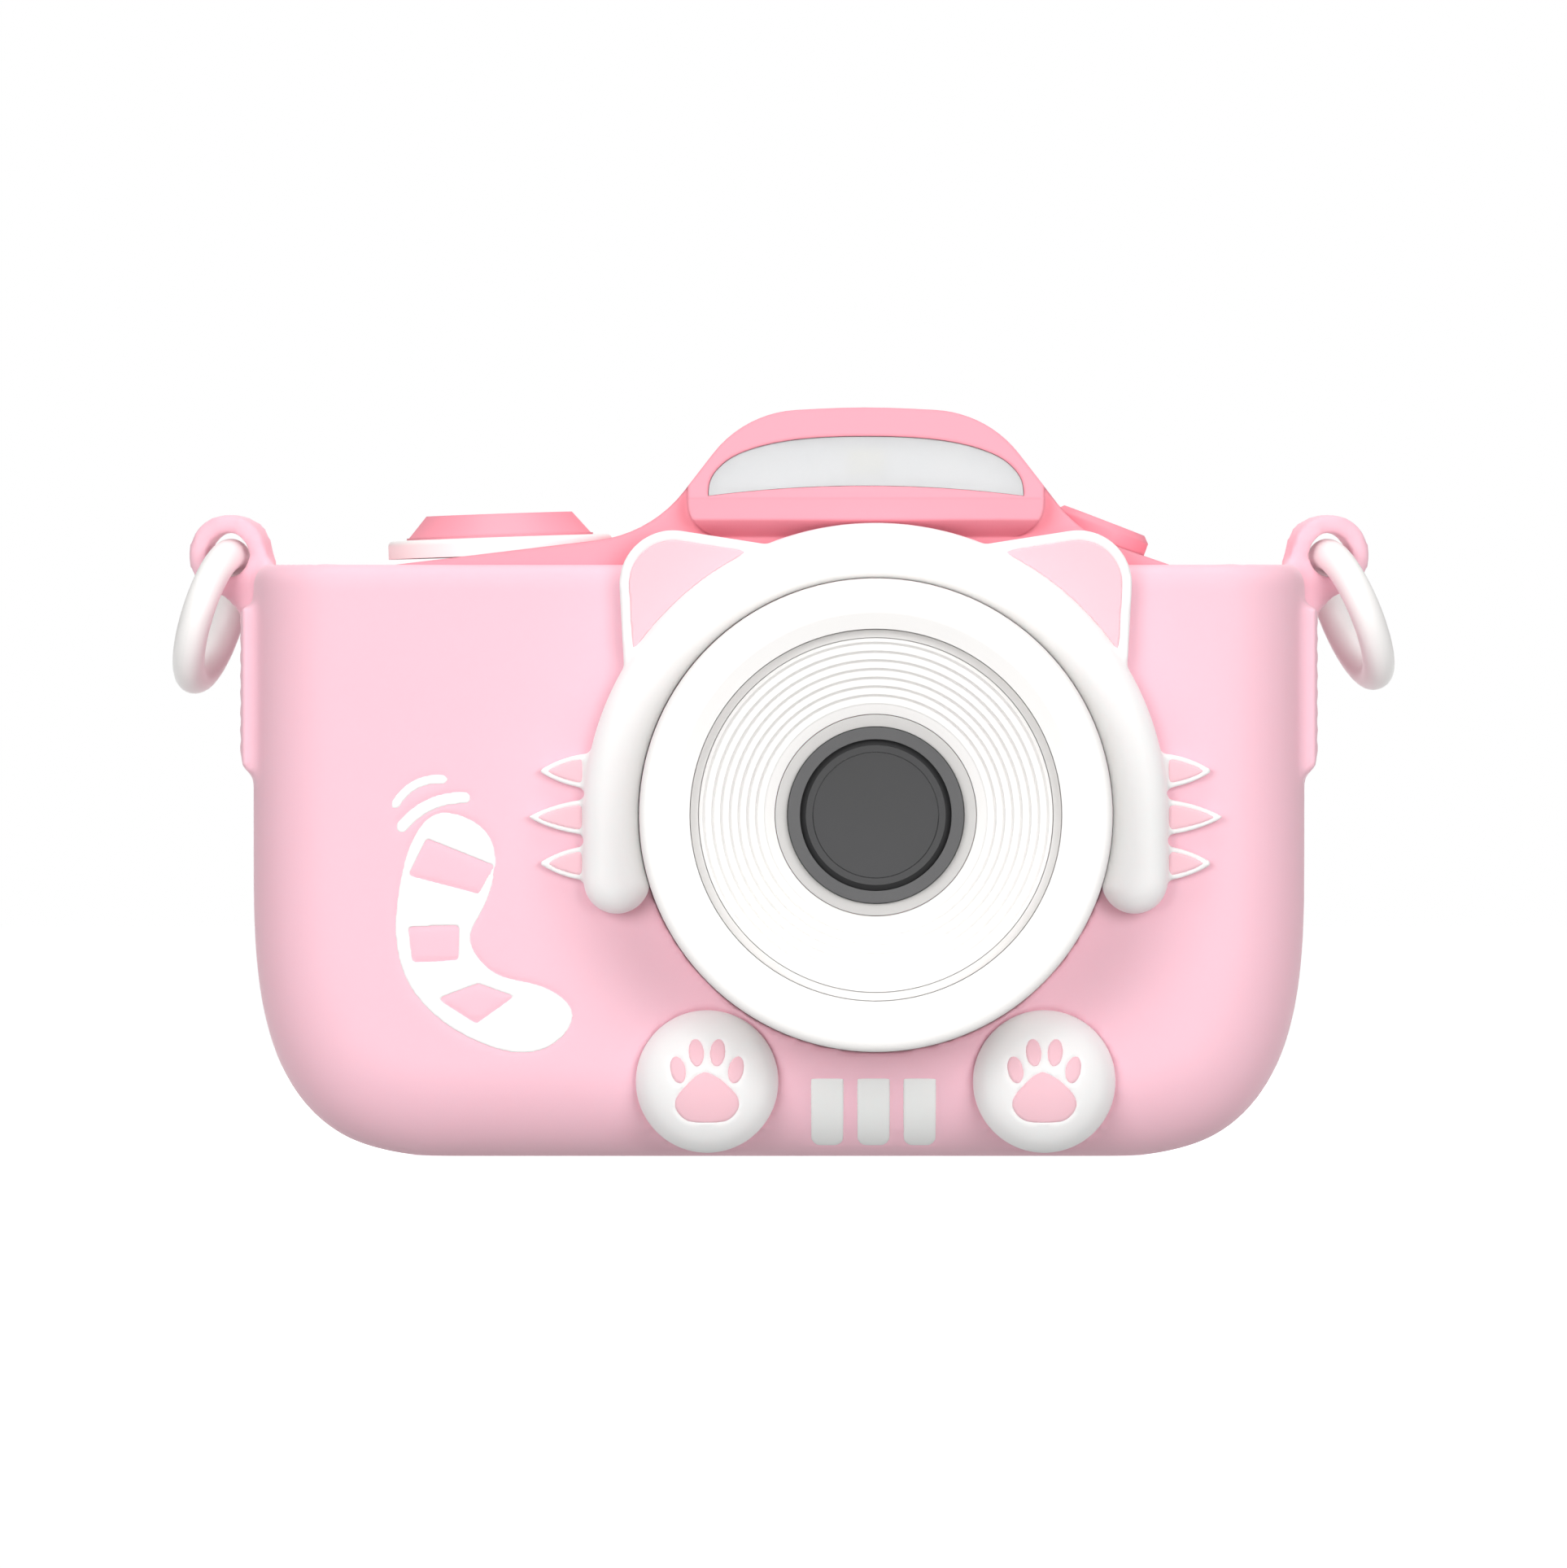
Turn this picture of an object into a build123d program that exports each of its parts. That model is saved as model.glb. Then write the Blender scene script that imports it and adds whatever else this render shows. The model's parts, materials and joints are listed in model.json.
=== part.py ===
from build123d import *
from functools import cache
import math
import os

# Kids' toy camera: soft jacket over a two-part hard shell, cat-face lens surround, strap rings.
# Millimetres. X runs to the right as seen from the front, the lens looks along -Y, Z is up.
# The origin is the centre of the flat base.

# Soft jacket
body_width = 98.0
jacket_front = -16.0
jacket_back = 15.5
jacket_wall = 2.0
edge_round = 8.5
rim_round = 2.0
brim = 1.5
corner_semi_x = 20.0
corner_semi_z = 28.0
corner_power = 3.0
corner_steps = 8
window_side = 9.4
window_bottom = 6.0
window_drop = 5.3
window_round = 5.0
inlay_depth = 0.6
seat_depth = 1.0

# Hard shell
fit_gap = 0.1
rest_gap = 0.05
shell_wall = 1.8
shell_drop = 0.3
split_y = 0.0
panel_back = 15.0
panel_gap = 0.15
crown_x = 8.1
crown_rise = 8.6
crown_drop = 0.6
crown_corner_x = 11.3
foot_half_x = 20.0
foot_rise = 3.0
foot_round = 12.0
crown_round = 10.5
crown_bow = 80.0
shoulder_end = 12.3

# Lens and cat face
lens_x = 9.0
barrel_r = 22.0
barrel_low = 9.8
barrel_front = -29.5
barrel_bore_r = 17.3
barrel_lip_r = 18.8
barrel_gap = 0.08
barrel_round = 0.9
step_ring_r = 16.5
baffle_r = 16.1
groove_pitch = 0.81
groove_count = 7
cone_r = 10.6
hub_r = 9.4
bezel_r = 8.2
bezel_bore_r = 7.05
glass_mark_r = 5.8
head_width = 5.2
head_thick = 4.0
arch_round = 2.2
ear_thick = 2.4
arm_r = 3.1
arm_drop = 6.1
whisker_thick = 1.2
whisker_rise = (4.1, -0.2, -4.5)
whisker_reach = (4.2, 5.2, 4.2)
whisker_half = 1.7
whisker_rim = 0.45

# Brow and flash
brow_front = -16.4
brow_height = 2.0
facet_top_y = -10.0
flash_half_x = 14.7
flash_bottom_rise = 0.2
flash_bow = 0.95
flash_height = 5.6
flash_power = 2.5
flash_steps = 6
brow_side = 1.9
brow_corner = 3.2
brow_undercut = 1.6
flash_glass = 1.2

# Paws, bars and tail
paw_gap = 0.7
paw_z = 7.0
paw_r = 6.65
paw_proud = 4.5
bar_offset = (-4.5, -0.2, 4.1)
bar_width = 3.1
bar_bottom = 1.0
bar_top = 7.3

# Strap lugs and rings
lug_reach = 2.2
lug_y = 2.0
lug_rise = 0.8
lug_r = 3.75
lug_thick = 3.6
lug_yaw = 14.0
lug_hole_r = 2.1
ring_r = 6.0
ring_wire_r = 1.5
ring_lean = (17.0, 22.0)

# Grip strips
strip_proud = 1.1
strip_front = -10.0
strip_back = 5.0
strip_height = 15.5
strip_drop = 4.1
rib_pitch = 1.7
rib_proud = 0.25
rib_count = 8

# Top buttons
shutter_x = -26.0
shutter_y = -1.0
shutter_rise = 1.0
shutter_tilt = 2.0
shutter_ring_r = 10.45
shutter_ring_high = 1.7
shutter_base_r = 8.7
shutter_top_r = 6.8
shutter_high = 2.0
shutter_travel = 1.0
mode_x = 29.7
mode_rise = 2.5
mode_tilt = 21.0
mode_half_x = 4.6
mode_half_y = 6.5
mode_high = 1.9
mode_travel = 0.8
button_gap = 0.15
stem_r = 2.6
flange_r = 3.6
flange_thick = 0.8

# Rear keys
pad_z = 27.0
key_r = 3.0
ok_r = 3.2
menu_offset = (-6.8, 5.2)
menu_z = 43.0
key_proud = 1.5
key_travel = 0.5
key_gap = 0.15
key_flange = 0.7
flange_gap = 0.4
key_flange_thick = 0.6
key_board_inset = 2.2
pad_margin = 0.25

# Screen
screen_x = 12.5
screen_z = 28.0
screen_width = 48.0
screen_height = 38.0
screen_thick = 1.0
lcd_margin = 2.0
lcd_thick = 2.55

# Rear lens
rear_lens_drop = 7.9
rear_lens_r = 4.6

# Electronics
board_front = 4.0
board_thick = 1.0
board_edge = 1.5
speaker_z = 11.6
speaker_r = 5.2
speaker_thick = 2.7
speaker_gap = 1.0
microphone_offset = 28.0
microphone_z = 44.0
battery_width = 32.0
battery_height = 31.0
battery_bottom = 15.4
battery_thick = 5.0
usb_height = 7.6
usb_thick = 2.6
usb_z = 23.4
card_height = 11.0
card_thick = 0.7

# Port door
door_front = 1.1
door_back = 9.3
door_bottom = 16.9
door_top = 30.2
door_inset = 2.05
door_thick = 1.35
door_barrel_r = 0.65
door_pin_r = 0.4
door_gap = 0.3

# Screws
screw_inset = 7.2
screw_low = 12.4
screw_drop = 6.0
screw_head_r = 1.8
screw_shank_r = 0.85
boss_r = 2.3
screw_seat_y = 4.0

# Derived sizes: body and lens
half_width = body_width / 2
lens_z = barrel_low + barrel_r
jacket_top = lens_z + barrel_r + brim
head_r = barrel_r + head_width
shell_top = jacket_top - shell_drop
shell_inset = jacket_wall + fit_gap
cavity_inset = shell_inset + shell_wall
shell_front = jacket_front + shell_inset
shell_back = jacket_back - shell_inset
shell_half_x = half_width - shell_inset
plate_back = jacket_front + cavity_inset
head_front = jacket_front - head_thick
land_y = barrel_front + 2.5
baffle_depth = 3.4
hub_y = land_y + baffle_depth + 0.5
bezel_front = hub_y - 0.6

# Derived sizes: raised top
brow_bottom = lens_z + head_r + 0.3
brow_top = brow_bottom + brow_height
crown_top = brow_top + crown_rise
crown_corner_z = crown_top - crown_drop
foot_z = shell_top + foot_rise
shoulder_x = half_width - shoulder_end
shutter_seat_z = shell_top + shutter_rise
mode_seat_z = shell_top + mode_rise
rear_lens_z = crown_top - rear_lens_drop

# Derived sizes: front and side trim
whisker_tip = [head_r + reach for reach in whisker_reach]
paw_span = math.sqrt((barrel_r + paw_r + paw_gap) ** 2 - (lens_z - paw_z) ** 2)
paw_x = (lens_x - paw_span, lens_x + paw_span)
bar_x = [lens_x + offset_x for offset_x in bar_offset]
lug_x = half_width + lug_reach
lug_z = jacket_top + lug_rise
strip_top = jacket_top - strip_drop
strip_bottom = strip_top - strip_height

# Derived sizes: rear panel
window_half_x = half_width - window_side
window_top = jacket_top - window_drop
panel_inner = panel_back - shell_wall
panel_hollow_x = window_half_x - panel_gap - shell_wall
pad_pitch = key_r + ok_r + 2 * key_flange + flange_gap
pad_x = -panel_hollow_x + pad_margin + key_flange + key_r + pad_pitch
menu_x = [pad_x + offset_x for offset_x in menu_offset]
key_board_y = panel_inner - key_board_inset
key_rest_y = panel_inner - rest_gap
switch_tip_y = key_rest_y - key_flange_thick - key_travel - rest_gap

# Derived sizes: sides and inside
door_inner = half_width - door_inset
door_axis_x = door_inner + door_barrel_r
screw_x = half_width - screw_inset
screw_z = (screw_low, jacket_top - screw_drop)
card_y = board_front - 1.3
sensor_board_y = plate_back + 2.5
microphone_x = lens_x + microphone_offset


def front_plane(y):
    """Plane whose local x is X and local y is Z, facing the front."""
    return Plane(origin=(0, y, 0), x_dir=(1, 0, 0), z_dir=(0, -1, 0))


def slab(sketch, y_front, y_back):
    """Solid of a sketch drawn in X and Z, from y_front to y_back."""
    return extrude(front_plane(y_back) * sketch, y_back - y_front)


def block(x0, x1, y0, y1, z0, z1):
    """Box between two corners."""
    centre = Pos((x0 + x1) / 2, (y0 + y1) / 2, (z0 + z1) / 2)
    return centre * Box(x1 - x0, y1 - y0, z1 - z0)


def along_y(x, z, radius, y0, y1):
    """Cylinder parallel to Y."""
    return slab(Pos(x, z) * Circle(radius), y0, y1)


def side_slab(points, x0, x1):
    """Solid of a Y-Z outline, from x0 to x1."""
    plane = Plane(origin=(x0, 0, 0), x_dir=(0, 1, 0), z_dir=(1, 0, 0))
    return extrude(plane * make_face(Polyline(*points, close=True)), x1 - x0)


def turned(points, x=lens_x, z=lens_z):
    """Solid of revolution about a Y-parallel axis, from (radius, y) points."""
    outline = Pos(x, 0, z) * make_face(Polyline(*points, close=True))
    return revolve(outline, Axis((x, 0, z), (0, 1, 0)))


def both_sides(shape):
    """A shape and its mirror image about the X = 0 plane."""
    return [shape, mirror(shape, Plane.YZ)]


def fused(shapes):
    """All shapes as one."""
    total = shapes[0]
    for shape in shapes[1:]:
        total = total + shape
    return total


# Body outline -------------------------------------------------------------------------

def body_face(inset, top):
    """Front outline of the body, moved in by inset: upright sides, superelliptic bottom corners."""
    side = half_width - inset
    centre_x = half_width - corner_semi_x
    points = []
    for step in range(corner_steps + 1):
        turn = math.pi / 2 * step / corner_steps
        reach = max(math.cos(turn), 0.0) ** (2 / corner_power)
        drop = math.sin(turn) ** (2 / corner_power)
        x = centre_x + (corner_semi_x - inset) * reach
        points.append((x, corner_semi_z - (corner_semi_z - inset) * drop))
    corner = Spline(points, tangents=[(0, -1), (-1, 0)])
    edges = [
        Line((side, top), (side, corner_semi_z)),
        corner,
        Line((centre_x, inset), (-centre_x, inset)),
        mirror(corner, Plane.YZ),
        Line((-side, corner_semi_z), (-side, top)),
        Line((-side, top), (side, top)),
    ]
    return make_face(edges)


@cache
def body_solid(inset, top):
    """Body moved in by inset, its upright and bottom edges rounded front and back."""
    solid = slab(body_face(inset, top), jacket_front + inset, jacket_back - inset)
    front = solid.edges().group_by(Axis.Y)[0]
    back = solid.edges().group_by(Axis.Y)[-1]
    chosen = [edge for edge in front + back if edge.center().Z < top - 0.01]
    return fillet(chosen, edge_round - inset)


# Jacket -------------------------------------------------------------------------------

def lug_plane(side):
    """Plane of a strap lug: origin in its hole, local x outwards, facing out of its front."""
    yaw = math.radians(lug_yaw)
    normal = (side * math.sin(yaw), -math.cos(yaw), 0)
    outwards = (side * math.cos(yaw), math.sin(yaw), 0)
    return Plane(origin=(side * lug_x, lug_y, lug_z), x_dir=outwards, z_dir=normal)


def strap_lug(side):
    """Rounded lug that leans out of the jacket's top corner."""
    foot = [(-1.0, 3.6), (-2.4, 2.95), (-4.4, -1.2), (-3.6, -5.5), (-1.1, -5.4), (0.4, -3.7)]
    outline = Circle(lug_r) + make_face(Polyline(*foot, close=True))
    plane = lug_plane(side)
    if plane.y_dir.Z < 0:
        outline = mirror(outline, Plane.XZ)
    return extrude(plane * outline, lug_thick / 2, both=True)


def grip_strip():
    """Proud strip with horizontal ribs, on the +X side."""
    outline = Pos(0, (strip_top + strip_bottom) / 2) * Rectangle(
        2 * (half_width + strip_proud), strip_top - strip_bottom
    )
    outline = fillet(outline.vertices().group_by(Axis.Y)[0], strip_proud)
    strip = slab(outline, strip_front, strip_back)
    ribs = []
    for index in range(rib_count):
        z = strip_bottom + 2.3 + index * rib_pitch
        for side in (-1, 1):
            x = side * (half_width + strip_proud - 0.35)
            ribs.append(along_y(x, z, 0.35 + rib_proud, strip_front + 1, strip_back - 1))
    return fused([strip] + ribs)


def jacket_openings():
    """Everything that the jacket leaves open: cavity, lens hole, rear window and port cut-out."""
    rear = Pos(0, (window_top + window_bottom) / 2) * RectangleRounded(
        2 * window_half_x, window_top - window_bottom, window_round
    )
    cavity = body_solid(jacket_wall, jacket_top + 10)
    lens_hole = along_y(lens_x, lens_z, barrel_r + barrel_gap, jacket_front - 1, shell_front)
    window = slab(rear, shell_back - 1, jacket_back + 1)
    port = block(
        shell_half_x - 0.5, half_width + 2,
        door_front - 1.0, door_back + 1.0,
        door_bottom - door_barrel_r - 0.65, door_top + door_gap,
    )
    return [cavity, lens_hole, window, port]


def lug_holes():
    """Holes for the strap rings."""
    return [
        extrude(lug_plane(side) * Circle(lug_hole_r), lug_thick, both=True) for side in (-1, 1)
    ]


def silicone_jacket():
    """Soft tub round the shell, with grip strips and strap lugs."""
    outer = body_solid(0, jacket_top)
    top_edges = outer.edges().group_by(Axis.Z)[-1]
    outer = fillet(top_edges, rim_round)
    jacket = fused([outer, grip_strip(), strap_lug(-1), strap_lug(1)])
    for opening in jacket_openings() + lug_holes():
        jacket = jacket - opening
    for seated in seated_pieces():
        jacket = jacket - seated
    return jacket


def seated_pieces():
    """Pieces that the jacket holds in pockets of its front."""
    paws = [paw_blank(x) for x in paw_x]
    return [cat_head(), *paws, tail_inlay(), tail_strokes(), front_bars()]


def inlaid(sketch):
    """Thin inlay of this outline that follows the jacket's front."""
    outer = body_solid(0, jacket_top)
    band = outer - Pos(0, inlay_depth, 0) * outer
    return slab(sketch, jacket_front - 1, jacket_front + edge_round) & band


# Cat face -----------------------------------------------------------------------------

def ear_face():
    """Right ear's outline about the lens axis."""
    foot_in = (10.1, 25.2)
    tip = (24.2, 27.4)
    foot_out = (23.4, 13.2)
    outline = make_face(Polyline(foot_in, tip, foot_out, (14.0, 14.0), close=True))
    corner = outline.vertices().sort_by_distance(tip)[0]
    return fillet(corner, 5.0)


@cache
def arch_face():
    """Arch round the upper barrel with two rounded arms, about the lens axis."""
    dome = Circle(head_r)
    lower = Pos(0, -head_r) * Rectangle(4 * head_r, 2 * head_r)
    legs = Pos(0, -arm_drop / 2) * Rectangle(2 * head_r, arm_drop)
    arm_x = head_r - arm_r
    ends = [Pos(side * arm_x, -arm_drop) * Circle(arm_r) for side in (-1, 1)]
    return dome - lower + legs + ends[0] + ends[1] - Circle(barrel_r + barrel_gap)


def whisker_face(tip, inset):
    """Right whisker about its own root height: two arcs that meet at the tip."""
    root = head_r - 1.5
    half = whisker_half - inset
    end = tip - 1.6 * inset
    middle = (root + 0.55 * (end - root), 0.72 * half)
    upper = ThreePointArc((root, half), middle, (end, 0))
    lower = mirror(upper, Plane.XZ)
    return make_face([upper, lower, Line((root, -half), (root, half))])


def on_lens_axis(sketch):
    """Moves an outline drawn about the lens axis into place."""
    return Pos(lens_x, lens_z) * sketch


def whiskers(inset):
    """All six whisker outlines, right ones and left ones."""
    faces = []
    for rise, tip in zip(whisker_rise, whisker_tip):
        right = Pos(0, rise) * whisker_face(tip, inset)
        faces.extend(both_sides(right))
    return faces


def ear_inlay_faces():
    """Ear inlays: the ear less its rim and less the arch."""
    inner = offset(ear_face(), amount=-0.9) - Circle(head_r)
    return both_sides(inner)


@cache
def ear_inlays():
    """Coloured inlays of both ears."""
    front = jacket_front - ear_thick
    return fused([slab(on_lens_axis(face), front, front + inlay_depth) for face in ear_inlay_faces()])


@cache
def whisker_inlays():
    """Coloured inlays of the whiskers, outside the arch's arms."""
    front = jacket_front - whisker_thick
    faces = [face - Rectangle(2 * head_r + 0.2, 40) for face in whiskers(whisker_rim)]
    return fused([slab(on_lens_axis(face), front, front + inlay_depth) for face in faces])


@cache
def cat_head():
    """White surround: arch, ears and whisker rims in one moulding, seated in the jacket."""
    arch = slab(on_lens_axis(arch_face()), head_front, jacket_front)
    rim = [
        edge for edge in arch.edges().group_by(Axis.Y)[0]
        if abs(edge.center().Z - lens_z) > 0.01 or edge.length > 10
    ]
    arch = fillet(rim, arch_round)
    ears = []
    for face in both_sides(ear_face() - Circle(head_r - 1)):
        ears.append(slab(on_lens_axis(face), jacket_front - ear_thick, jacket_front))
    leaves = []
    for face in whiskers(0):
        leaves.append(slab(on_lens_axis(face), jacket_front - whisker_thick, jacket_front))
    head = fused([arch] + ears + leaves)
    seat = slab(on_lens_axis(offset(arch_face(), amount=-0.8)), jacket_front, jacket_front + seat_depth)
    seat = seat - block(-100, 100, -50, 50, jacket_top - 2.5, 100)
    return head + seat - ear_inlays() - whisker_inlays()


# Paws, tail and bars ------------------------------------------------------------------

@cache
def paw_blank(x):
    """Dome with its base in a pocket of the jacket, before its print is let in."""
    steps = 6
    points = [(0.0, jacket_front - paw_proud)]
    for step in range(1, steps + 1):
        turn = math.pi / 2 * step / steps
        points.append((paw_r * math.sin(turn), jacket_front - paw_proud * math.cos(turn)))
    rim = Spline(points, tangents=[(1, 0), (0, 1)])
    back = jacket_front + edge_round
    sides = Polyline((paw_r, jacket_front), (paw_r, back), (0, back), (0, jacket_front - paw_proud))
    outline = Pos(x, 0, paw_z) * make_face([rim, sides])
    dome = revolve(outline, Axis((x, 0, paw_z), (0, 1, 0)))
    return dome - body_solid(seat_depth, jacket_top)


def print_faces():
    """Paw print about the paw's centre: one pad and four toes."""
    right_side = [(2.0, -0.4), (3.0, -2.2), (1.9, -3.6)]
    left_side = [(-x, z) for x, z in reversed(right_side)]
    pad = make_face(Spline([(0.0, 0.9), *right_side, (0.0, -3.8), *left_side], periodic=True))
    toes = []
    for toe_x, toe_z, lean in ((-2.7, 1.1, 12), (-1.0, 2.7, 5), (1.0, 2.7, -5), (2.7, 1.1, -12)):
        toes.append(Pos(toe_x, toe_z) * Rot(0, 0, lean) * Ellipse(0.72, 1.3))
    return [pad] + toes


@cache
def paw_print(x):
    """Coloured print let into a paw's dome."""
    blank = paw_blank(x)
    band = blank - Pos(0, 0.5, 0) * blank
    front = jacket_front - paw_proud - 1
    pieces = [slab(Pos(x, paw_z) * face, front, jacket_front) for face in print_faces()]
    return fused([piece & band for piece in pieces])


def paw(x):
    """White paw dome."""
    return paw_blank(x) - paw_print(x)


def bar_face(x):
    """One bar with a rounded bottom."""
    bar = Pos(x, (bar_bottom + bar_top) / 2) * Rectangle(bar_width, bar_top - bar_bottom)
    return fillet(bar.vertices().group_by(Axis.Y)[0], 0.9)


@cache
def front_bars():
    """Three upright bars below the lens."""
    return fused([inlaid(bar_face(x)) for x in bar_x])


def tail_face():
    """Curled tail: a smooth closed outline."""
    points = [
        (-30.1, 31.9), (-26.5, 28.6), (-27.9, 22.4), (-28.7, 20.6), (-26.6, 17.2), (-22.2, 15.9),
        (-19.2, 13.2), (-21.3, 10.3), (-27.6, 10.5), (-31.5, 12.7), (-34.6, 16.3), (-35.7, 20.6),
        (-35.4, 24.9), (-33.8, 30.1),
    ]
    return make_face(Spline(points, periodic=True))


def tail_patches():
    """Three windows in the tail that show the jacket."""
    outlines = [
        [(-32.8, 29.6), (-26.6, 27.1), (-28.0, 24.5), (-34.5, 26.2)],
        [(-34.5, 21.4), (-29.8, 21.5), (-29.9, 18.3), (-34.1, 18.1)],
        [(-31.8, 14.7), (-28.0, 16.1), (-24.7, 14.9), (-28.2, 12.4)],
    ]
    return [make_face(Polyline(*outline, close=True)) for outline in outlines]


@cache
def tail_inlay():
    """White tail let into the jacket."""
    face = tail_face()
    for patch in tail_patches():
        face = face - patch
    return inlaid(face)


def stroke_face(start, middle, end, width):
    """Curved stroke with round ends."""
    return SlotArc(ThreePointArc(start, middle, end), width)


@cache
def tail_strokes():
    """Two motion strokes above the tail."""
    outer = stroke_face((-35.7, 32.8), (-33.9, 34.6), (-31.3, 35.1), 0.9)
    inner = stroke_face((-35.1, 30.7), (-32.6, 32.7), (-29.3, 33.4), 1.15)
    return inlaid(outer) + inlaid(inner)


# Shell --------------------------------------------------------------------------------

def crown_face():
    """Front outline of the raised top: shoulders, flares and the slightly bowed crown."""
    points = [
        (-shoulder_x, shell_top - 12),
        (-shoulder_x, shell_top),
        (crown_x - foot_half_x, foot_z),
        (crown_x - crown_corner_x, crown_corner_z),
        (crown_x, crown_top),
        (crown_x + crown_corner_x, crown_corner_z),
        (crown_x + foot_half_x, foot_z),
        (shoulder_x, shell_top),
        (shoulder_x, shell_top - 12),
    ]
    radii = [0, 0, foot_round, crown_round, crown_bow, crown_round, foot_round, 0, 0]
    return make_face(FilletPolyline(*points, radius=radii, close=True))


def facet_y(z):
    """Y of the sloped front facet at height z."""
    slope = (facet_top_y - brow_front) / (crown_top - brow_top)
    return brow_front + (z - brow_top) * slope


def crown_solid(inset):
    """Raised top, moved in by inset: the crown outline under a sloped front and an eased back."""
    face = crown_face()
    if inset > 0:
        face = offset(face, amount=-inset)
    front = shell_front + inset
    back = shell_back - inset
    high = crown_top + 1
    side = [
        (front, shell_top - 20),
        (front, brow_top + (front - brow_front - inset) / (facet_y(high) - facet_y(high - 1))),
        (facet_y(high) + inset, high),
        (back - 4, high),
        (back, crown_top - 4),
        (back, shell_top - 20),
    ]
    return slab(face, front, back) & side_slab(side, -half_width, half_width)


def brow_face(inset):
    """Front outline of the brow: as wide as the crown there, with round lower corners."""
    half = flash_half_x + brow_side - inset
    low = brow_bottom - brow_undercut
    face = Pos(crown_x, (low + crown_top) / 2) * Rectangle(2 * half, crown_top - low)
    face = fillet(face.vertices().group_by(Axis.Y)[0], brow_corner)
    crown = crown_face()
    if inset > 0:
        crown = offset(crown, amount=-inset)
    return face & crown


def brow_solid(inset):
    """Brow under the flash window: stands forward of the shell, undercut below."""
    side = [
        (shell_front + 2, brow_bottom - brow_undercut + inset),
        (shell_front, brow_bottom - brow_undercut + inset),
        (brow_front + inset, brow_bottom + inset),
        (brow_front + inset, brow_top),
        (facet_y(crown_top) + inset, crown_top),
        (facet_y(crown_top) + inset + 3, crown_top),
    ]
    front = slab(brow_face(inset), brow_front - 1, facet_top_y + 4)
    return front & side_slab(side, -half_width, half_width)


@cache
def shell_solid(inset):
    """Whole shell without its rear panel, moved in by inset."""
    body = body_solid(shell_inset + inset, shell_top - inset)
    return fused([body, crown_solid(inset), brow_solid(inset)])


def flash_face(inset):
    """Flash window's front outline: a superelliptic bow above and a slight arc below."""
    half = flash_half_x - inset
    base = brow_top + flash_bottom_rise + 0.6 * inset
    high = brow_top + flash_bottom_rise + flash_height - inset
    points = []
    for step in range(flash_steps + 1):
        turn = math.pi / 2 * step / flash_steps
        x = half * math.sin(turn) ** (2 / flash_power)
        z = base + (high - base) * max(math.cos(turn), 0.0) ** (2 / flash_power)
        points.append((x, z))
    right = Spline(points, tangents=[(1, 0), (0, -1)])
    lower = ThreePointArc((half, base), (0, base + flash_bow), (-half, base))
    return Pos(crown_x, 0) * make_face([right, mirror(right, Plane.YZ), lower])


def behind_facet(near, far):
    """Everything between two planes parallel to the facet, near and far behind it along Y."""
    low = brow_top - 1
    high = crown_top
    points = [
        (facet_y(low) + near, low),
        (facet_y(high) + near, high),
        (facet_y(high) + far, high),
        (facet_y(low) + far, low),
    ]
    return side_slab(points, -half_width, half_width)


def flash_window():
    """Clear cover set flush in the facet."""
    return slab(flash_face(0.05), brow_front - 1, 0) & behind_facet(0.1, 0.1 + flash_glass)


@cache
def flash_reflector():
    """Pearl tray behind the flash cover, with a window for the lamp."""
    tray = slab(flash_face(0.05), brow_front - 1, 0) & behind_facet(0.1 + flash_glass, 3.0)
    dish = slab(flash_face(0.9), brow_front - 1, 0) & behind_facet(0.1 + flash_glass - 0.1, 2.4)
    return tray - dish - flash_lamp_pocket()


def flash_lamp_pocket():
    """Hole for the lamp through the reflector's floor."""
    z = brow_top + 3.1
    return block(crown_x - 1.8, crown_x + 1.8, brow_front, facet_y(z) + 4.0, z - 1.3, z + 1.3)


def flash_lamp():
    """Lamp standing on its board."""
    z = brow_top + 3.1
    y = facet_y(z) + 2.6
    return block(crown_x - 1.7, crown_x + 1.7, y, flash_board_y(), z - 1.2, z + 1.2)


def flash_board_y():
    """Front face of the flash board, just behind the reflector."""
    return facet_y(brow_top + 7.0) + 3.05


def flash_board():
    """Small upright board behind the reflector."""
    z = brow_top + 2.4
    y = flash_board_y()
    return block(crown_x - 7, crown_x + 7, y, y + 0.8, z - 3.0, z + 3.4)


def shutter_plane():
    """Seat plane of the shutter ring, facing up along its tilted axis."""
    tilt = math.radians(shutter_tilt)
    return Plane(
        origin=(shutter_x, shutter_y, shutter_seat_z),
        x_dir=(math.cos(tilt), 0, math.sin(tilt)),
        z_dir=(-math.sin(tilt), 0, math.cos(tilt)),
    )


def mode_plane():
    """Seat plane of the mode button on the right flare."""
    tilt = math.radians(mode_tilt)
    return Plane(
        origin=(mode_x, shutter_y, mode_seat_z),
        x_dir=(math.cos(tilt), 0, -math.sin(tilt)),
        z_dir=(math.sin(tilt), 0, math.cos(tilt)),
    )


def raised(plane, sketch, low, high):
    """Solid of a sketch on a plane between two heights above it."""
    return extrude(plane.offset(low) * sketch, high - low)


def mode_face(grow):
    """Rounded outline of the mode button, in its seat plane."""
    return RectangleRounded(2 * (mode_half_x + grow), 2 * (mode_half_y + grow), mode_half_x + grow - 0.5)


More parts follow.
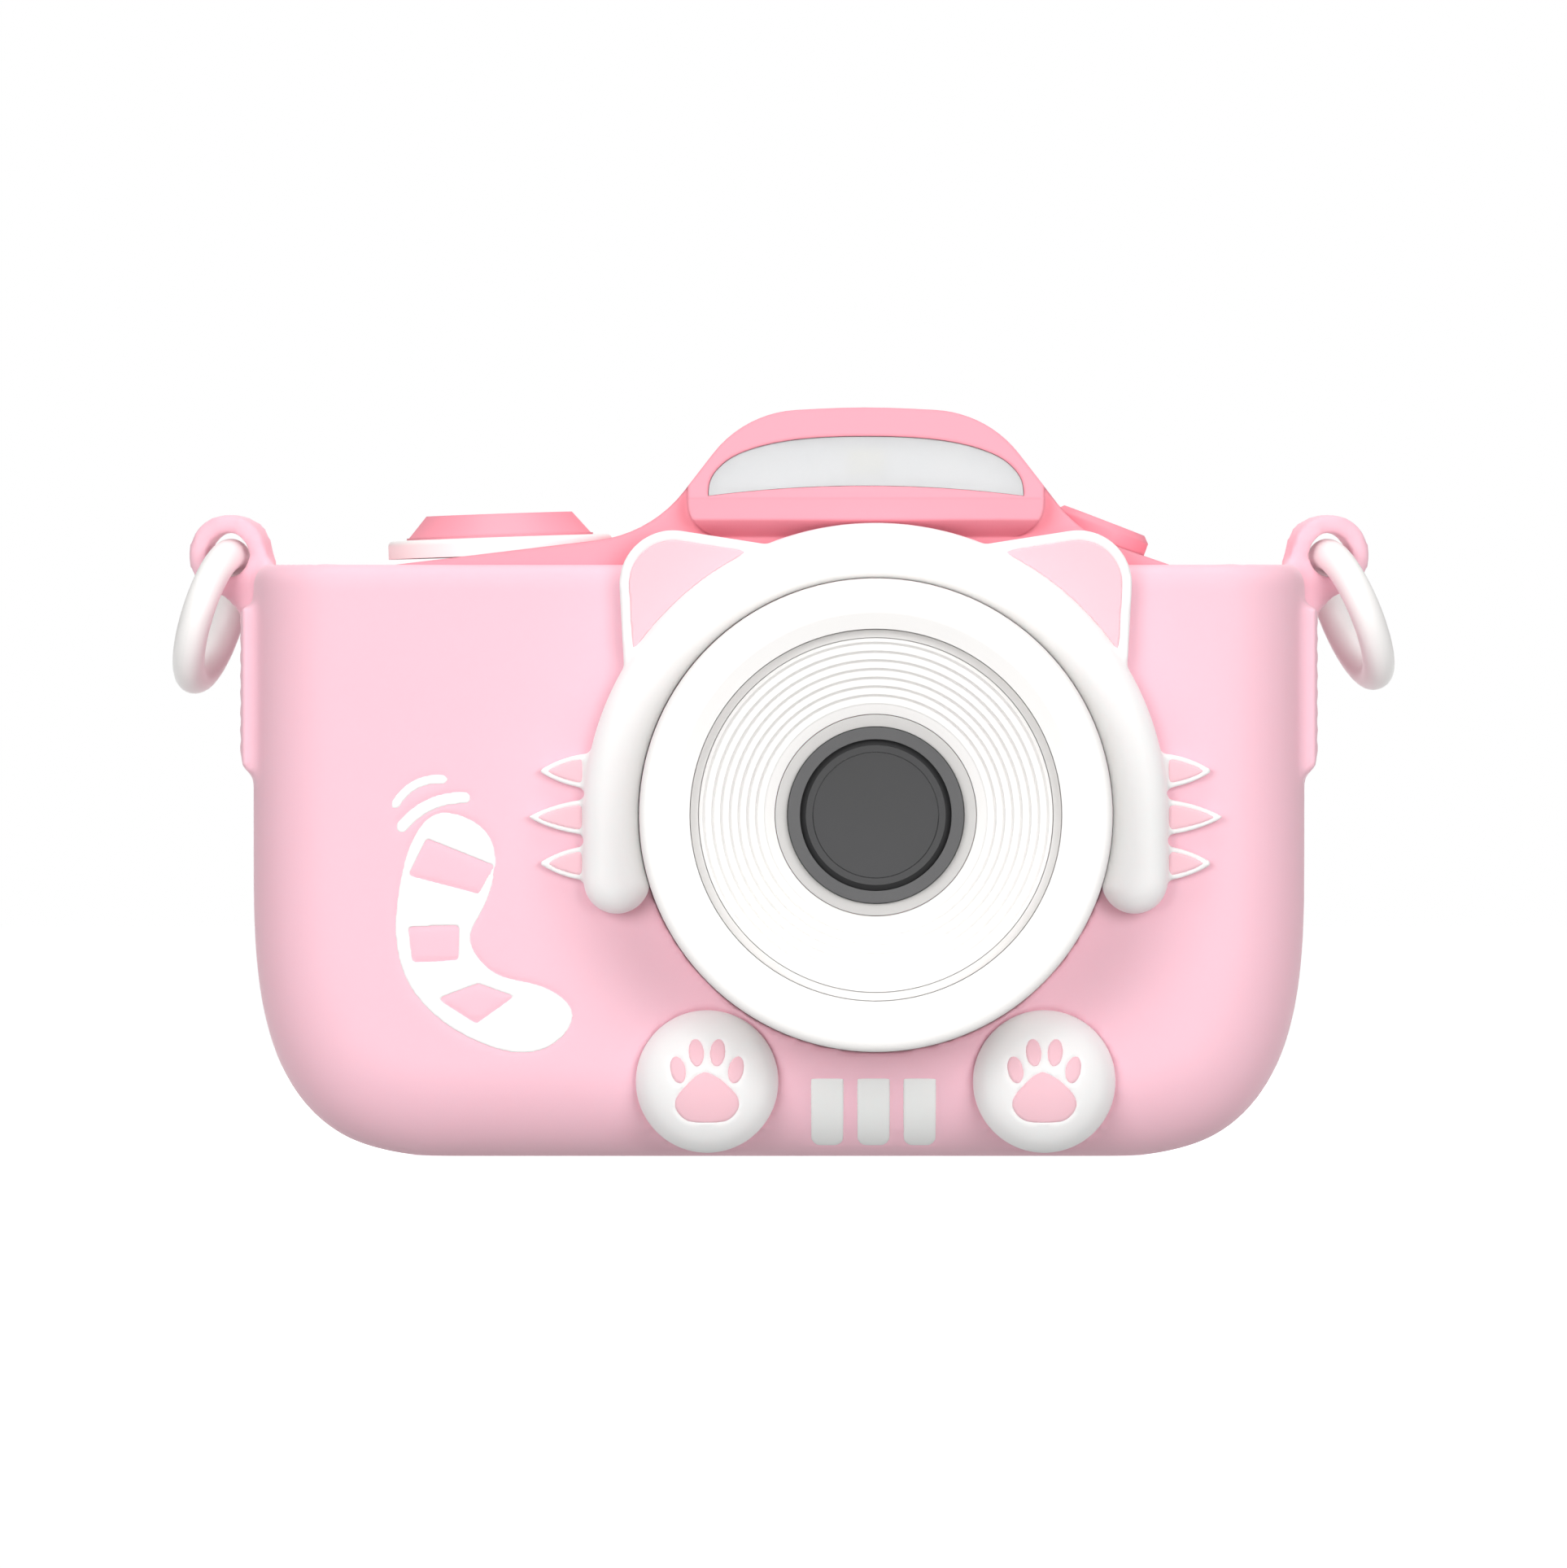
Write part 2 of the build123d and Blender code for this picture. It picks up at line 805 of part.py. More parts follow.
def button_cuts():
    """Pockets and stem holes of the two top buttons."""
    shutter = shutter_plane()
    mode = mode_plane()
    return [
        raised(shutter, Circle(shutter_ring_r + 0.1), 0, 8),
        raised(shutter, Circle(stem_r + button_gap), -8, 1),
        raised(shutter, Circle(flange_r + 0.4), -8, -shell_wall),
        raised(mode, mode_face(button_gap), -mode_travel - 0.1, 8),
        raised(mode, Circle(stem_r + button_gap), -8, 1),
        raised(mode, Circle(flange_r + 0.4), -8, -mode_travel - 0.1 - shell_wall),
    ]


def button_seats():
    """Solid pads under the top buttons that carry their seats."""
    shutter = raised(shutter_plane(), Circle(shutter_ring_r + 1.2), -shell_wall, 0)
    mode = raised(mode_plane(), mode_face(1.2), -mode_travel - 0.1 - shell_wall, -mode_travel - 0.1)
    return [shutter, mode]


def key_places():
    """Centres and radii of the round rear keys; the user, behind the camera, sees +X as left."""
    return {
        "up_key": (pad_x, pad_z + pad_pitch, key_r),
        "down_key": (pad_x, pad_z - pad_pitch, key_r),
        "left_key": (pad_x + pad_pitch, pad_z, key_r),
        "right_key": (pad_x - pad_pitch, pad_z, key_r),
        "ok_key": (pad_x, pad_z, ok_r),
        "menu_key": (menu_x[0], menu_z, key_r),
        "play_key": (menu_x[1], menu_z, key_r),
    }


def screw_places():
    """Centres of the four shell screws."""
    return [(side * screw_x, z) for side in (-1, 1) for z in screw_z]


def halves_block(front):
    """Everything in front of the split, or behind it."""
    if front:
        return block(-100, 100, -60, split_y, -10, 100)
    return block(-100, 100, split_y, 60, -10, 100)


def shell_half(front):
    """One half of the hollow shell with its button pads."""
    hollow = shell_solid(0) - shell_solid(shell_wall)
    pads = [pad & shell_solid(0) for pad in button_seats()]
    shell = fused([hollow] + pads)
    for cut in button_cuts():
        shell = shell - cut
    return shell & halves_block(front)


def front_housing():
    """Front half of the hard shell, with the lens opening, flash opening and screw posts."""
    shell = shell_half(True)
    posts = [along_y(x, z, boss_r, plate_back - 0.5, split_y) for x, z in screw_places()]
    shell = fused([shell] + [post & shell_solid(0) for post in posts])
    shell = shell - along_y(lens_x, lens_z, bezel_r + 0.3, jacket_front, plate_back + 1)
    shell = shell - (slab(flash_face(0), brow_front - 1, 0) & behind_facet(-2, 3.0))
    shell = shell - flash_reflector() - flash_lamp_pocket()
    for x, z in screw_places():
        shell = shell - along_y(x, z, screw_shank_r, split_y - 7, split_y + 1)
    for x, z in lens_screw_places():
        shell = shell - along_y(x, z, 1.0, jacket_front, plate_back + 1)
    for slot_x in (-1.6, 0, 1.6):
        shell = shell - along_y(microphone_x + slot_x, microphone_z, 0.5, jacket_front, plate_back + 1)
    return shell


def panel_face(gap):
    """Rear panel outline inside the jacket's window."""
    return Pos(0, (window_top + window_bottom) / 2) * RectangleRounded(
        2 * (window_half_x - gap), window_top - window_bottom - 2 * gap, window_round - gap
    )


def screen_face(gap):
    """Screen window outline, grown by gap."""
    return Pos(screen_x, screen_z) * RectangleRounded(
        screen_width + 2 * gap, screen_height + 2 * gap, 2.0
    )


def grille_slots():
    """Five upright slots over the speaker."""
    slots = []
    for index in range(-2, 3):
        place = Pos(pad_x + 2.2 * index, speaker_z)
        slots.append(slab(place * Rot(0, 0, 90) * SlotOverall(7.0 - abs(index), 1.1), 0, panel_back + 1))
    return slots


def port_cuts():
    """Slots for the charging socket and the memory card in the shell's side."""
    usb_y = board_front + board_thick
    return [
        block(
            shell_half_x - 6, half_width,
            usb_y - 0.1, usb_y + usb_thick + 0.1,
            usb_z - usb_height / 2 - 0.1, usb_z + usb_height / 2 + 0.1,
        ),
        block(
            shell_half_x - 6, half_width,
            card_y - 0.3, card_y + card_thick + 0.3,
            usb_z - card_height / 2 - 0.3, usb_z + card_height / 2 + 0.3,
        ),
    ]


def door_lugs():
    """Two small lugs that hold the port door's pins."""
    lugs = []
    for y0, y1 in ((door_front - 0.85, door_front - 0.1), (door_back + 0.1, door_back + 0.85)):
        lug = block(
            shell_half_x - 1, door_axis_x + door_barrel_r,
            y0, y1,
            door_bottom - door_barrel_r, door_bottom + door_barrel_r,
        )
        lugs.append(lug - along_y(door_axis_x, door_bottom, door_pin_r + 0.05, y0 - 1, y1 + 1))
    return lugs


def rear_housing():
    """Rear half of the hard shell, with the raised panel for screen, keys and speaker."""
    panel = slab(panel_face(panel_gap), shell_back - shell_wall - 0.5, panel_back)
    hollow = slab(panel_face(panel_gap + shell_wall), 0, panel_inner)
    bosses = [along_y(x, z, boss_r, split_y, shell_back) for x, z in screw_places()]
    bosses = [boss & shell_solid(0) for boss in bosses]
    shell = fused([shell_half(False), panel]) - hollow
    shell = fused([shell] + bosses + door_lugs())
    shell = shell - slab(screen_face(0.1), panel_back - screen_thick - 0.05, panel_back + 1)
    shell = shell - slab(screen_face(-1.5), 0, panel_back + 1)
    for x, z, radius in key_places().values():
        shell = shell - along_y(x, z, radius + key_gap, 0, panel_back + 1)
    for slot in grille_slots() + port_cuts():
        shell = shell - slot
    for x, z in screw_places():
        shell = shell - along_y(x, z, screw_shank_r + 0.15, split_y - 1, screw_seat_y + 1)
        shell = shell - along_y(x, z, screw_head_r + 0.2, screw_seat_y, shell_back + 1)
    return shell - along_y(crown_x, rear_lens_z, rear_lens_r + 0.05, 0, shell_back + 1)


def housing_screws():
    """Four self-tapping screws from the rear."""
    screws = []
    for x, z in screw_places():
        head = along_y(x, z, screw_head_r, screw_seat_y, screw_seat_y + 1.3)
        shank = along_y(x, z, screw_shank_r - 0.02, split_y - 6.5, screw_seat_y)
        recess = block(x - 1.1, x + 1.1, screw_seat_y + 0.7, screw_seat_y + 2, z - 0.25, z + 0.25)
        cross = block(x - 0.25, x + 0.25, screw_seat_y + 0.7, screw_seat_y + 2, z - 1.1, z + 1.1)
        screws.append(head + shank - recess - cross)
    return screws


# Lens ---------------------------------------------------------------------------------

def lens_screw_places():
    """Three screws that hold the barrel to the shell's front."""
    places = []
    for turn in (90, 210, 330):
        angle = math.radians(turn)
        places.append((lens_x + 13.5 * math.cos(angle), lens_z + 13.5 * math.sin(angle)))
    return places


def lens_barrel():
    """White barrel: outer wall, rounded rim, inner shoulder and a base web."""
    shoulder_y = land_y + 2.8
    points = [
        (barrel_r, shell_front),
        (barrel_r, barrel_front),
        (barrel_lip_r, barrel_front + 0.3),
        (barrel_bore_r, barrel_front + 0.8),
        (barrel_bore_r, shoulder_y),
        (barrel_bore_r - 1.2, shoulder_y),
        (barrel_bore_r - 1.2, shoulder_y + 1.5),
        (barrel_r - 2.2, shoulder_y + 3.5),
        (barrel_r - 2.2, shell_front - 2.2),
        (bezel_r + 2.0, shell_front - 2.2),
        (bezel_r + 2.0, shell_front),
    ]
    barrel = turned(points)
    barrel = fillet(barrel.edges().group_by(Axis.Y)[0], barrel_round)
    for x, z in lens_screw_places():
        boss = along_y(x, z, 2.0, shell_front - 5.0, shell_front)
        barrel = barrel + boss - along_y(x, z, 0.7, shell_front - 4.4, shell_front + 1)
    return barrel


def lens_screws():
    """Three small screws through the shell's front into the barrel."""
    screws = []
    for x, z in lens_screw_places():
        head = along_y(x, z, 1.5, plate_back, plate_back + 0.9)
        screws.append(head + along_y(x, z, 0.68, shell_front - 3.6, plate_back))
    return screws


def step_ring():
    """Grey ring at the foot of the barrel's inner slope."""
    return turned([
        (step_ring_r, land_y), (barrel_bore_r - 0.05, land_y),
        (barrel_bore_r - 0.05, land_y + 0.8), (step_ring_r, land_y + 0.8),
    ])


def light_baffle():
    """White stepped cone between the step ring and the lens."""
    points = [
        (step_ring_r - 0.05, land_y + 0.8),
        (step_ring_r - 0.05, land_y + 0.1),
        (baffle_r, land_y + 0.1),
    ]
    drop = baffle_depth / groove_count
    for index in range(groove_count):
        radius = baffle_r - index * groove_pitch
        y = land_y + 0.1 + index * drop
        points.append((radius - 0.2, y + drop))
        points.append((radius - groove_pitch, y + 0.75 * drop))
    points += [
        (cone_r - 0.3, land_y + 0.1 + baffle_depth),
        (hub_r, hub_y),
        (hub_r, hub_y + 3.0),
        (hub_r + 1.2, hub_y + 3.0),
        (hub_r + 1.2, hub_y + 1.2),
        (baffle_r - 0.2, land_y + 2.75),
        (barrel_bore_r - 0.05, land_y + 2.75),
        (barrel_bore_r - 0.05, land_y + 0.8),
    ]
    return turned(points)


def hub_ring():
    """Light grey ring round the lens bezel."""
    return turned([
        (bezel_r + 0.05, hub_y), (hub_r - 0.05, hub_y),
        (hub_r - 0.05, hub_y + 2.4), (bezel_r + 0.05, hub_y + 2.4),
    ])


def lens_bezel():
    """Dark ring that clamps the lens window."""
    return turned([
        (bezel_bore_r, bezel_front), (bezel_r, bezel_front),
        (bezel_r, bezel_front + 2.0), (bezel_bore_r, bezel_front + 2.0),
    ])


def lens_window():
    """Domed-edge glass with a shallow step at its bright mark."""
    edge = bezel_bore_r - 0.05
    return turned([
        (0, bezel_front + 0.7), (glass_mark_r, bezel_front + 0.7), (glass_mark_r + 0.1, bezel_front + 0.5),
        (edge - 0.5, bezel_front + 0.5), (edge, bezel_front + 0.9), (edge, bezel_front + 2.0),
        (0, bezel_front + 2.0),
    ])


def lens_holder():
    """Black tube from the window back to the sensor board, with a stepped throat."""
    front = bezel_front + 2.0
    return turned([
        (4.6, front), (bezel_r, front), (bezel_r, sensor_board_y), (5.6, sensor_board_y),
        (5.6, front + 4.0), (3.0, front + 4.0), (3.0, front + 3.0), (4.6, front + 1.0),
    ])


def lens_element():
    """Objective element seated in the holder's throat."""
    front = bezel_front + 2.0
    dome = [(0, front + 4.0), (3.0, front + 4.6), (5.4, front + 6.0)]
    rim = Spline(dome, tangents=[(1, 0), (0.9, 0.6)])
    sides = Polyline((5.4, front + 6.0), (5.4, front + 7.2), (0, front + 7.2), (0, front + 4.0))
    outline = Pos(lens_x, 0, lens_z) * make_face([rim, sides])
    return revolve(outline, Axis((lens_x, 0, lens_z), (0, 1, 0)))


def image_sensor():
    """Sensor chip on the sensor board, inside the holder."""
    y = sensor_board_y
    return block(lens_x - 3.2, lens_x + 3.2, y - 1.0, y, lens_z - 3.2, lens_z + 3.2)


def sensor_board():
    """Square board behind the lens holder."""
    y = sensor_board_y
    return block(lens_x - 9, lens_x + 9, y, y + 1.0, lens_z - 9, lens_z + 9)


def sensor_cable():
    """Flat cable from the sensor board back to the main board."""
    y0 = sensor_board_y + 1.0
    z = lens_z + 5
    return fused([
        block(lens_x - 4, lens_x + 4, y0, y0 + 0.3, z - 3, z + 3),
        block(lens_x - 4, lens_x + 4, y0, board_front, z + 2.7, z + 3),
        block(lens_x - 4, lens_x + 4, board_front - 0.3, board_front, z + 2.7, z + 5),
    ])


# Buttons and keys ---------------------------------------------------------------------

def shutter_ring():
    """White ring round the shutter button."""
    ring = Circle(shutter_ring_r) - Circle(shutter_base_r + button_gap)
    solid = raised(shutter_plane(), ring, 0, shutter_ring_high)
    top = solid.edges().filter_by(GeomType.CIRCLE).sort_by(Axis.Z)[-2:]
    outer = [edge for edge in top if edge.radius > shutter_base_r + 1]
    return fillet(outer, 0.5)


def shutter_button():
    """Tapered cap with a stem and a captive flange under the shell."""
    plane = shutter_plane()
    low = shutter_travel + 0.1
    skirt = raised(plane, Circle(shutter_base_r), low, shutter_ring_high + 0.2)
    start = shutter_ring_high + 0.2
    cap = loft([
        plane.offset(start) * Circle(shutter_base_r - 0.2),
        plane.offset(start + shutter_high) * Circle(shutter_top_r),
    ])
    flange_top = -shell_wall - rest_gap
    stem = raised(plane, Circle(stem_r), flange_top - flange_thick, low)
    flange = raised(plane, Circle(flange_r), flange_top - flange_thick, flange_top)
    return fused([skirt, cap, stem, flange])


def mode_button():
    """Slanted oval button with eased edges, a stem and a captive flange."""
    plane = mode_plane()
    cap = extrude(mode_face(0), mode_high)
    body = plane * chamfer(cap.faces().sort_by(Axis.Z)[-1].edges(), 0.6)
    flange_top = -mode_travel - 0.1 - shell_wall - rest_gap
    stem = raised(plane, Circle(stem_r), flange_top - flange_thick, 0)
    flange = raised(plane, Circle(flange_r), flange_top - flange_thick, flange_top)
    return fused([body, stem, flange])


def switch_heights():
    """Plane, flange underside and travel of each top button's switch."""
    return [
        (shutter_plane(), -shell_wall - rest_gap - flange_thick, shutter_travel),
        (mode_plane(), -mode_travel - 0.1 - shell_wall - rest_gap - flange_thick, mode_travel),
    ]


def top_switches():
    """Tactile switches under the two top buttons."""
    switches = []
    for plane, underside, travel in switch_heights():
        low = underside - travel - rest_gap
        body = raised(plane, Rectangle(4.5, 4.5), low - 2.3, low - 0.6)
        switches.append(body + raised(plane, Circle(1.1), low - 0.6, low))
    return switches


def top_switch_boards():
    """Small boards that carry the top switches."""
    boards = []
    for plane, underside, travel in switch_heights():
        low = underside - travel - rest_gap - 2.3
        boards.append(raised(plane, Rectangle(9.0, 9.0), low - 0.8, low))
    return boards


def rear_key(place):
    """Round key with a domed edge and a captive flange behind the panel."""
    x, z, radius = place
    cap = along_y(x, z, radius, key_rest_y, panel_back + key_proud)
    cap = fillet(cap.edges().group_by(Axis.Y)[-1], 0.6)
    flange = along_y(x, z, radius + key_flange, key_rest_y - key_flange_thick, key_rest_y)
    return cap + flange


def key_board():
    """Board behind the rear keys."""
    left = -panel_hollow_x + 0.3
    right = pad_x + pad_pitch + key_r + 0.6
    return block(left, right, key_board_y - 1.0, key_board_y, pad_z - pad_pitch - 1.6, menu_z + 3.5)


def key_switches():
    """One dome switch behind each rear key."""
    switches = []
    for x, z, _ in key_places().values():
        body = block(x - 1.6, x + 1.6, key_board_y, key_board_y + 0.8, z - 1.6, z + 1.6)
        switches.append(body + along_y(x, z, 0.8, key_board_y + 0.8, switch_tip_y))
    return switches


# Rear and inside ----------------------------------------------------------------------

def screen_window():
    """Clear screen cover, flush with the panel."""
    return slab(screen_face(0), panel_back - screen_thick, panel_back)


def lcd_panel():
    """Display module behind the screen cover."""
    face = Pos(screen_x, screen_z) * Rectangle(screen_width - lcd_margin, screen_height - lcd_margin)
    return slab(face, panel_inner - rest_gap - lcd_thick, panel_inner - rest_gap)


def speaker():
    """Round speaker behind the grille."""
    back = shell_back - shell_wall - speaker_gap
    return along_y(pad_x, speaker_z, speaker_r, back - speaker_thick, back)


def main_board():
    """Main board across the rear half, notched round the screw bosses."""
    half = half_width - cavity_inset - board_edge
    outline = Pos(0, 27.5) * Rectangle(2 * half, 46.0)
    for x, z in screw_places():
        outline = outline - Pos(x, z) * Rectangle(2 * boss_r + 5.4, 2 * boss_r + 1.6)
    lower = Pos(0, 5.5) * Rectangle(2 * half, 12)
    middle = Pos(0, 5.5) * Rectangle(2 * half - 30, 12)
    outline = outline - (lower - middle)
    return slab(outline, board_front, board_front + board_thick)


def processor():
    """Main chip on the rear of the board."""
    y = board_front + board_thick
    return block(2, 14, y, y + 1.2, 20, 32)


def usb_socket():
    """Charging socket at the board's edge: a metal shell with its tongue."""
    y = board_front + board_thick
    end = shell_half_x - 0.2
    outer = block(end - 6, end, y, y + usb_thick, usb_z - usb_height / 2, usb_z + usb_height / 2)
    inner = block(end - 5, end + 1, y + 0.35, y + usb_thick - 0.35,
                  usb_z - usb_height / 2 + 0.35, usb_z + usb_height / 2 - 0.35)
    tongue = block(end - 5.5, end - 1, y + 1.0, y + 1.5, usb_z - 2.6, usb_z + 2.6)
    return outer - inner + tongue


def card_socket():
    """Memory card socket on the front of the board."""
    end = shell_half_x - shell_wall - 0.9
    low = card_y - 0.4
    body = block(end - 13, end, low, board_front, usb_z - 6.6, usb_z + 6.6)
    slot = block(end - 12, end + 1, card_y - 0.05, card_y + card_thick + 0.05,
                 usb_z - card_height / 2 - 0.1, usb_z + card_height / 2 + 0.1)
    return body - slot


def memory_card():
    """Memory card in its socket, its end just inside the door."""
    end = shell_half_x - 0.3
    return block(end - 13.4, end, card_y, card_y + card_thick,
                 usb_z - card_height / 2, usb_z + card_height / 2)


def battery():
    """Flat pouch cell beside the lens, behind the shell's front."""
    x0 = -half_width + cavity_inset + 3.5
    y0 = plate_back + 0.3
    top = battery_bottom + battery_height
    cell = block(x0, x0 + battery_width, y0, y0 + battery_thick, battery_bottom, top)
    return fillet(cell.edges().filter_by(Axis.Z), 1.5)


def battery_pad():
    """Foam strip between the cell and the main board."""
    x0 = -half_width + cavity_inset + 8
    y0 = plate_back + 0.3 + battery_thick
    return block(x0, x0 + battery_width - 9, y0, board_front, 20, 28)


def microphone():
    """Microphone capsule behind its three holes."""
    return along_y(microphone_x, microphone_z, 2.4, plate_back + 0.05, plate_back + 2.2)


def rear_lens_ring():
    """Ring of the small rear lens, in the crown's back."""
    ring = turned([
        (3.2, shell_back - 2.4), (rear_lens_r, shell_back - 2.4), (rear_lens_r, shell_back + 0.8),
        (rear_lens_r - 0.4, shell_back + 1.1), (3.6, shell_back + 1.1), (3.2, shell_back + 0.5),
    ], crown_x, rear_lens_z)
    return ring


def rear_lens_window():
    """Dark cover of the rear lens."""
    return along_y(crown_x, rear_lens_z, 3.15, shell_back - 0.8, shell_back + 0.3)


def rear_camera():
    """Small camera module behind the rear lens, on its own board."""
    module = block(crown_x - 3.0, crown_x + 3.0, shell_back - 5.6, shell_back - 2.4,
                   rear_lens_z - 3.0, rear_lens_z + 3.0)
    nose = along_y(crown_x, rear_lens_z, 2.2, shell_back - 2.4, shell_back - 1.0)
    return module + nose


def port_door():
    """Hinged door over the ports: a plate on a pinned barrel."""
    plate = block(door_inner, door_inner + door_thick, door_front, door_back, door_bottom, door_top)
    plate = fillet(plate.edges().filter_by(Axis.X).group_by(Axis.Z)[-1], 1.0)
    barrel = along_y(door_axis_x, door_bottom, door_barrel_r, door_front, door_back)
    pin = along_y(door_axis_x, door_bottom, door_pin_r, door_front - 0.75, door_back + 0.75)
    tab = block(door_inner + door_thick - 0.5, door_inner + door_thick + 0.5,
                door_front + 2.5, door_back - 2.5, door_top - 1.6, door_top - 0.8)
    return fused([plate, barrel, pin, tab])


# Strap rings --------------------------------------------------------------------------

def strap_ring(side):
    """Round ring through a lug's hole, leaning outwards."""
    plane = lug_plane(side)
    lean = math.radians(ring_lean[0] if side < 0 else ring_lean[1])
    outwards = plane.x_dir
    hang = outwards * math.sin(lean) - Vector(0, 0, 1) * math.cos(lean)
    centre = plane.origin + hang * ring_r
    normal = hang.cross(plane.z_dir)
    return Plane(origin=centre, x_dir=hang, z_dir=normal) * Torus(ring_r, ring_wire_r)


def sub_parts():
    """Every sub-part by name."""
    parts = {
        "silicone_jacket": silicone_jacket(),
        "cat_head": cat_head(),
        "ear_inlays": ear_inlays(),
        "whisker_inlays": whisker_inlays(),
        "left_paw": paw(paw_x[0]),
        "right_paw": paw(paw_x[1]),
        "paw_prints": [paw_print(x) for x in paw_x],
        "tail_inlay": tail_inlay(),
        "tail_strokes": tail_strokes(),
        "front_bars": front_bars(),
        "front_housing": front_housing(),
        "rear_housing": rear_housing(),
        "housing_screws": housing_screws(),
        "lens_barrel": lens_barrel(),
        "lens_screws": lens_screws(),
        "step_ring": step_ring(),
        "light_baffle": light_baffle(),
        "hub_ring": hub_ring(),
        "lens_bezel": lens_bezel(),
        "lens_window": lens_window(),
        "lens_holder": lens_holder(),
        "lens_element": lens_element(),
        "image_sensor": image_sensor(),
        "sensor_board": sensor_board(),
        "sensor_cable": sensor_cable(),
        "flash_window": flash_window(),
        "flash_reflector": flash_reflector(),
        "flash_lamp": flash_lamp(),
        "flash_board": flash_board(),
        "shutter_ring": shutter_ring(),
        "shutter_button": shutter_button(),
        "mode_button": mode_button(),
        "top_switches": top_switches(),
        "top_switch_boards": top_switch_boards(),
        "key_board": key_board(),
        "key_switches": key_switches(),
        "screen_window": screen_window(),
        "lcd_panel": lcd_panel(),
        "speaker": speaker(),
        "main_board": main_board(),
        "processor": processor(),
        "usb_socket": usb_socket(),
        "card_socket": card_socket(),
        "memory_card": memory_card(),
        "battery": battery(),
        "battery_pad": battery_pad(),
        "microphone": microphone(),
        "rear_lens_ring": rear_lens_ring(),
        "rear_lens_window": rear_lens_window(),
        "rear_camera": rear_camera(),
        "port_door": port_door(),
        "left_strap_ring": strap_ring(-1),
        "right_strap_ring": strap_ring(1),
    }
    for name, place in key_places().items():
        parts[name] = rear_key(place)
    return parts


os.makedirs("parts", exist_ok=True)
for name, shape in sub_parts().items():
    if isinstance(shape, list):
        shape = Compound(children=[Compound(piece.solids()) for piece in shape])
    export_step(shape, f"parts/{name}.step")
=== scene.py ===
"""Kids' toy camera with a cat face: finished pieces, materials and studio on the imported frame.

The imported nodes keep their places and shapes. The soft mouldings are cast again here with eased
edges, the rear keys get their marks, and each new piece rides on the body that it belongs to.
Lengths are in metres, and MM turns a size in millimetres into metres.
"""

import json
import math

import bpy
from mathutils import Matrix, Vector


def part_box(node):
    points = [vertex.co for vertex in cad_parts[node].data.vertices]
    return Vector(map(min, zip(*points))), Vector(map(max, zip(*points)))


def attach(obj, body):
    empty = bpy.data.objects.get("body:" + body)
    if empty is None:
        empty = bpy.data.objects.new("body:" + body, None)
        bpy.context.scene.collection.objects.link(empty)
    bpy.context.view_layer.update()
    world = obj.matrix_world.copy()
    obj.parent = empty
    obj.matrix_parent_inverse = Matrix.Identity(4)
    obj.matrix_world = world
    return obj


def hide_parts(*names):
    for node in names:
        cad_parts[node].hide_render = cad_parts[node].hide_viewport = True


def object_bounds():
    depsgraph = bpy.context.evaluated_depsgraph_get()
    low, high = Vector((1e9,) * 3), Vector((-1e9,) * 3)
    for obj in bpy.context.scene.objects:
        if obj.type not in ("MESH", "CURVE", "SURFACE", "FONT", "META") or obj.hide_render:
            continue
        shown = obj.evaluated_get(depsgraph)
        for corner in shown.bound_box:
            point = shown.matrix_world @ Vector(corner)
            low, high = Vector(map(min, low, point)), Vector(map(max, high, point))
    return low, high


bl_info = {
    "name": "Cat Face Toy Camera",
    "version": (1, 0, 0),
    "blender": (4, 5, 0),
    "location": "View3D > Sidebar > Toy Camera",
    "description": "Finishes a toy camera on its packed frame",
    "category": "Object",
}

MM = 0.001

# Where the camera looks, and the depth at which its view is as wide as the setting says
VIEW_X = 0.42 * MM
VIEW_Z = 34.69 * MM
VIEW_PLANE_Y = -12 * MM

# Raised marks stand half of this above the keys, with edges rounded by the second size
MARK_THICK = 0.08 * MM
MARK_EASE = 0.3 * MARK_THICK

# The floor runs on behind the camera
FLOOR_SIZE = 16.0

# Places and sizes of the softboxes
FRONT_LIGHTS = (Vector((-0.62, -1.25, 0.33)), Vector((0.62, -1.25, 0.33)))
FRONT_LIGHT_SIZE = 0.7
TOP_LIGHT = Vector((0.0, -0.1, 1.0))
TOP_LIGHT_SIZE = 0.8
REAR_LIGHT = Vector((0.0, 1.2, 0.75))
REAR_LIGHT_SIZE = 0.6

# Rays that an eased edge is averaged over
EDGE_SAMPLES = 6

# Sockets of a Mix node that mixes colours
MIX_COLOURS = (6, 7)
MIX_RESULT = 2

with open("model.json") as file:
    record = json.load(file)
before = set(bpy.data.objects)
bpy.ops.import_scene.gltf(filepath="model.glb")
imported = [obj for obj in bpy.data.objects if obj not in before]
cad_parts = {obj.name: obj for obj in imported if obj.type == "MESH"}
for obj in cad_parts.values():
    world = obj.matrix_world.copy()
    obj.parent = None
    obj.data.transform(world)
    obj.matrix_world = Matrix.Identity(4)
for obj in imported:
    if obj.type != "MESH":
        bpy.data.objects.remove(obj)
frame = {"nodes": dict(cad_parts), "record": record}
nodes = frame["nodes"]
cad_low, cad_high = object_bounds()
bpy.ops.object.select_all(action="DESELECT")


# Shaping ------------------------------------------------------------------------------

def only(obj):
    """Makes one object the active and only selected one."""
    bpy.ops.object.select_all(action="DESELECT")
    obj.select_set(True)
    bpy.context.view_layer.objects.active = obj


def apply_modifier(obj, kind, **settings):
    """Adds a modifier with its settings and applies it."""
    only(obj)
    bpy.ops.object.modifier_add(type=kind)
    modifier = obj.modifiers[-1]
    for name, value in settings.items():
        setattr(modifier, name, value)
    bpy.ops.object.modifier_apply(modifier=modifier.name)


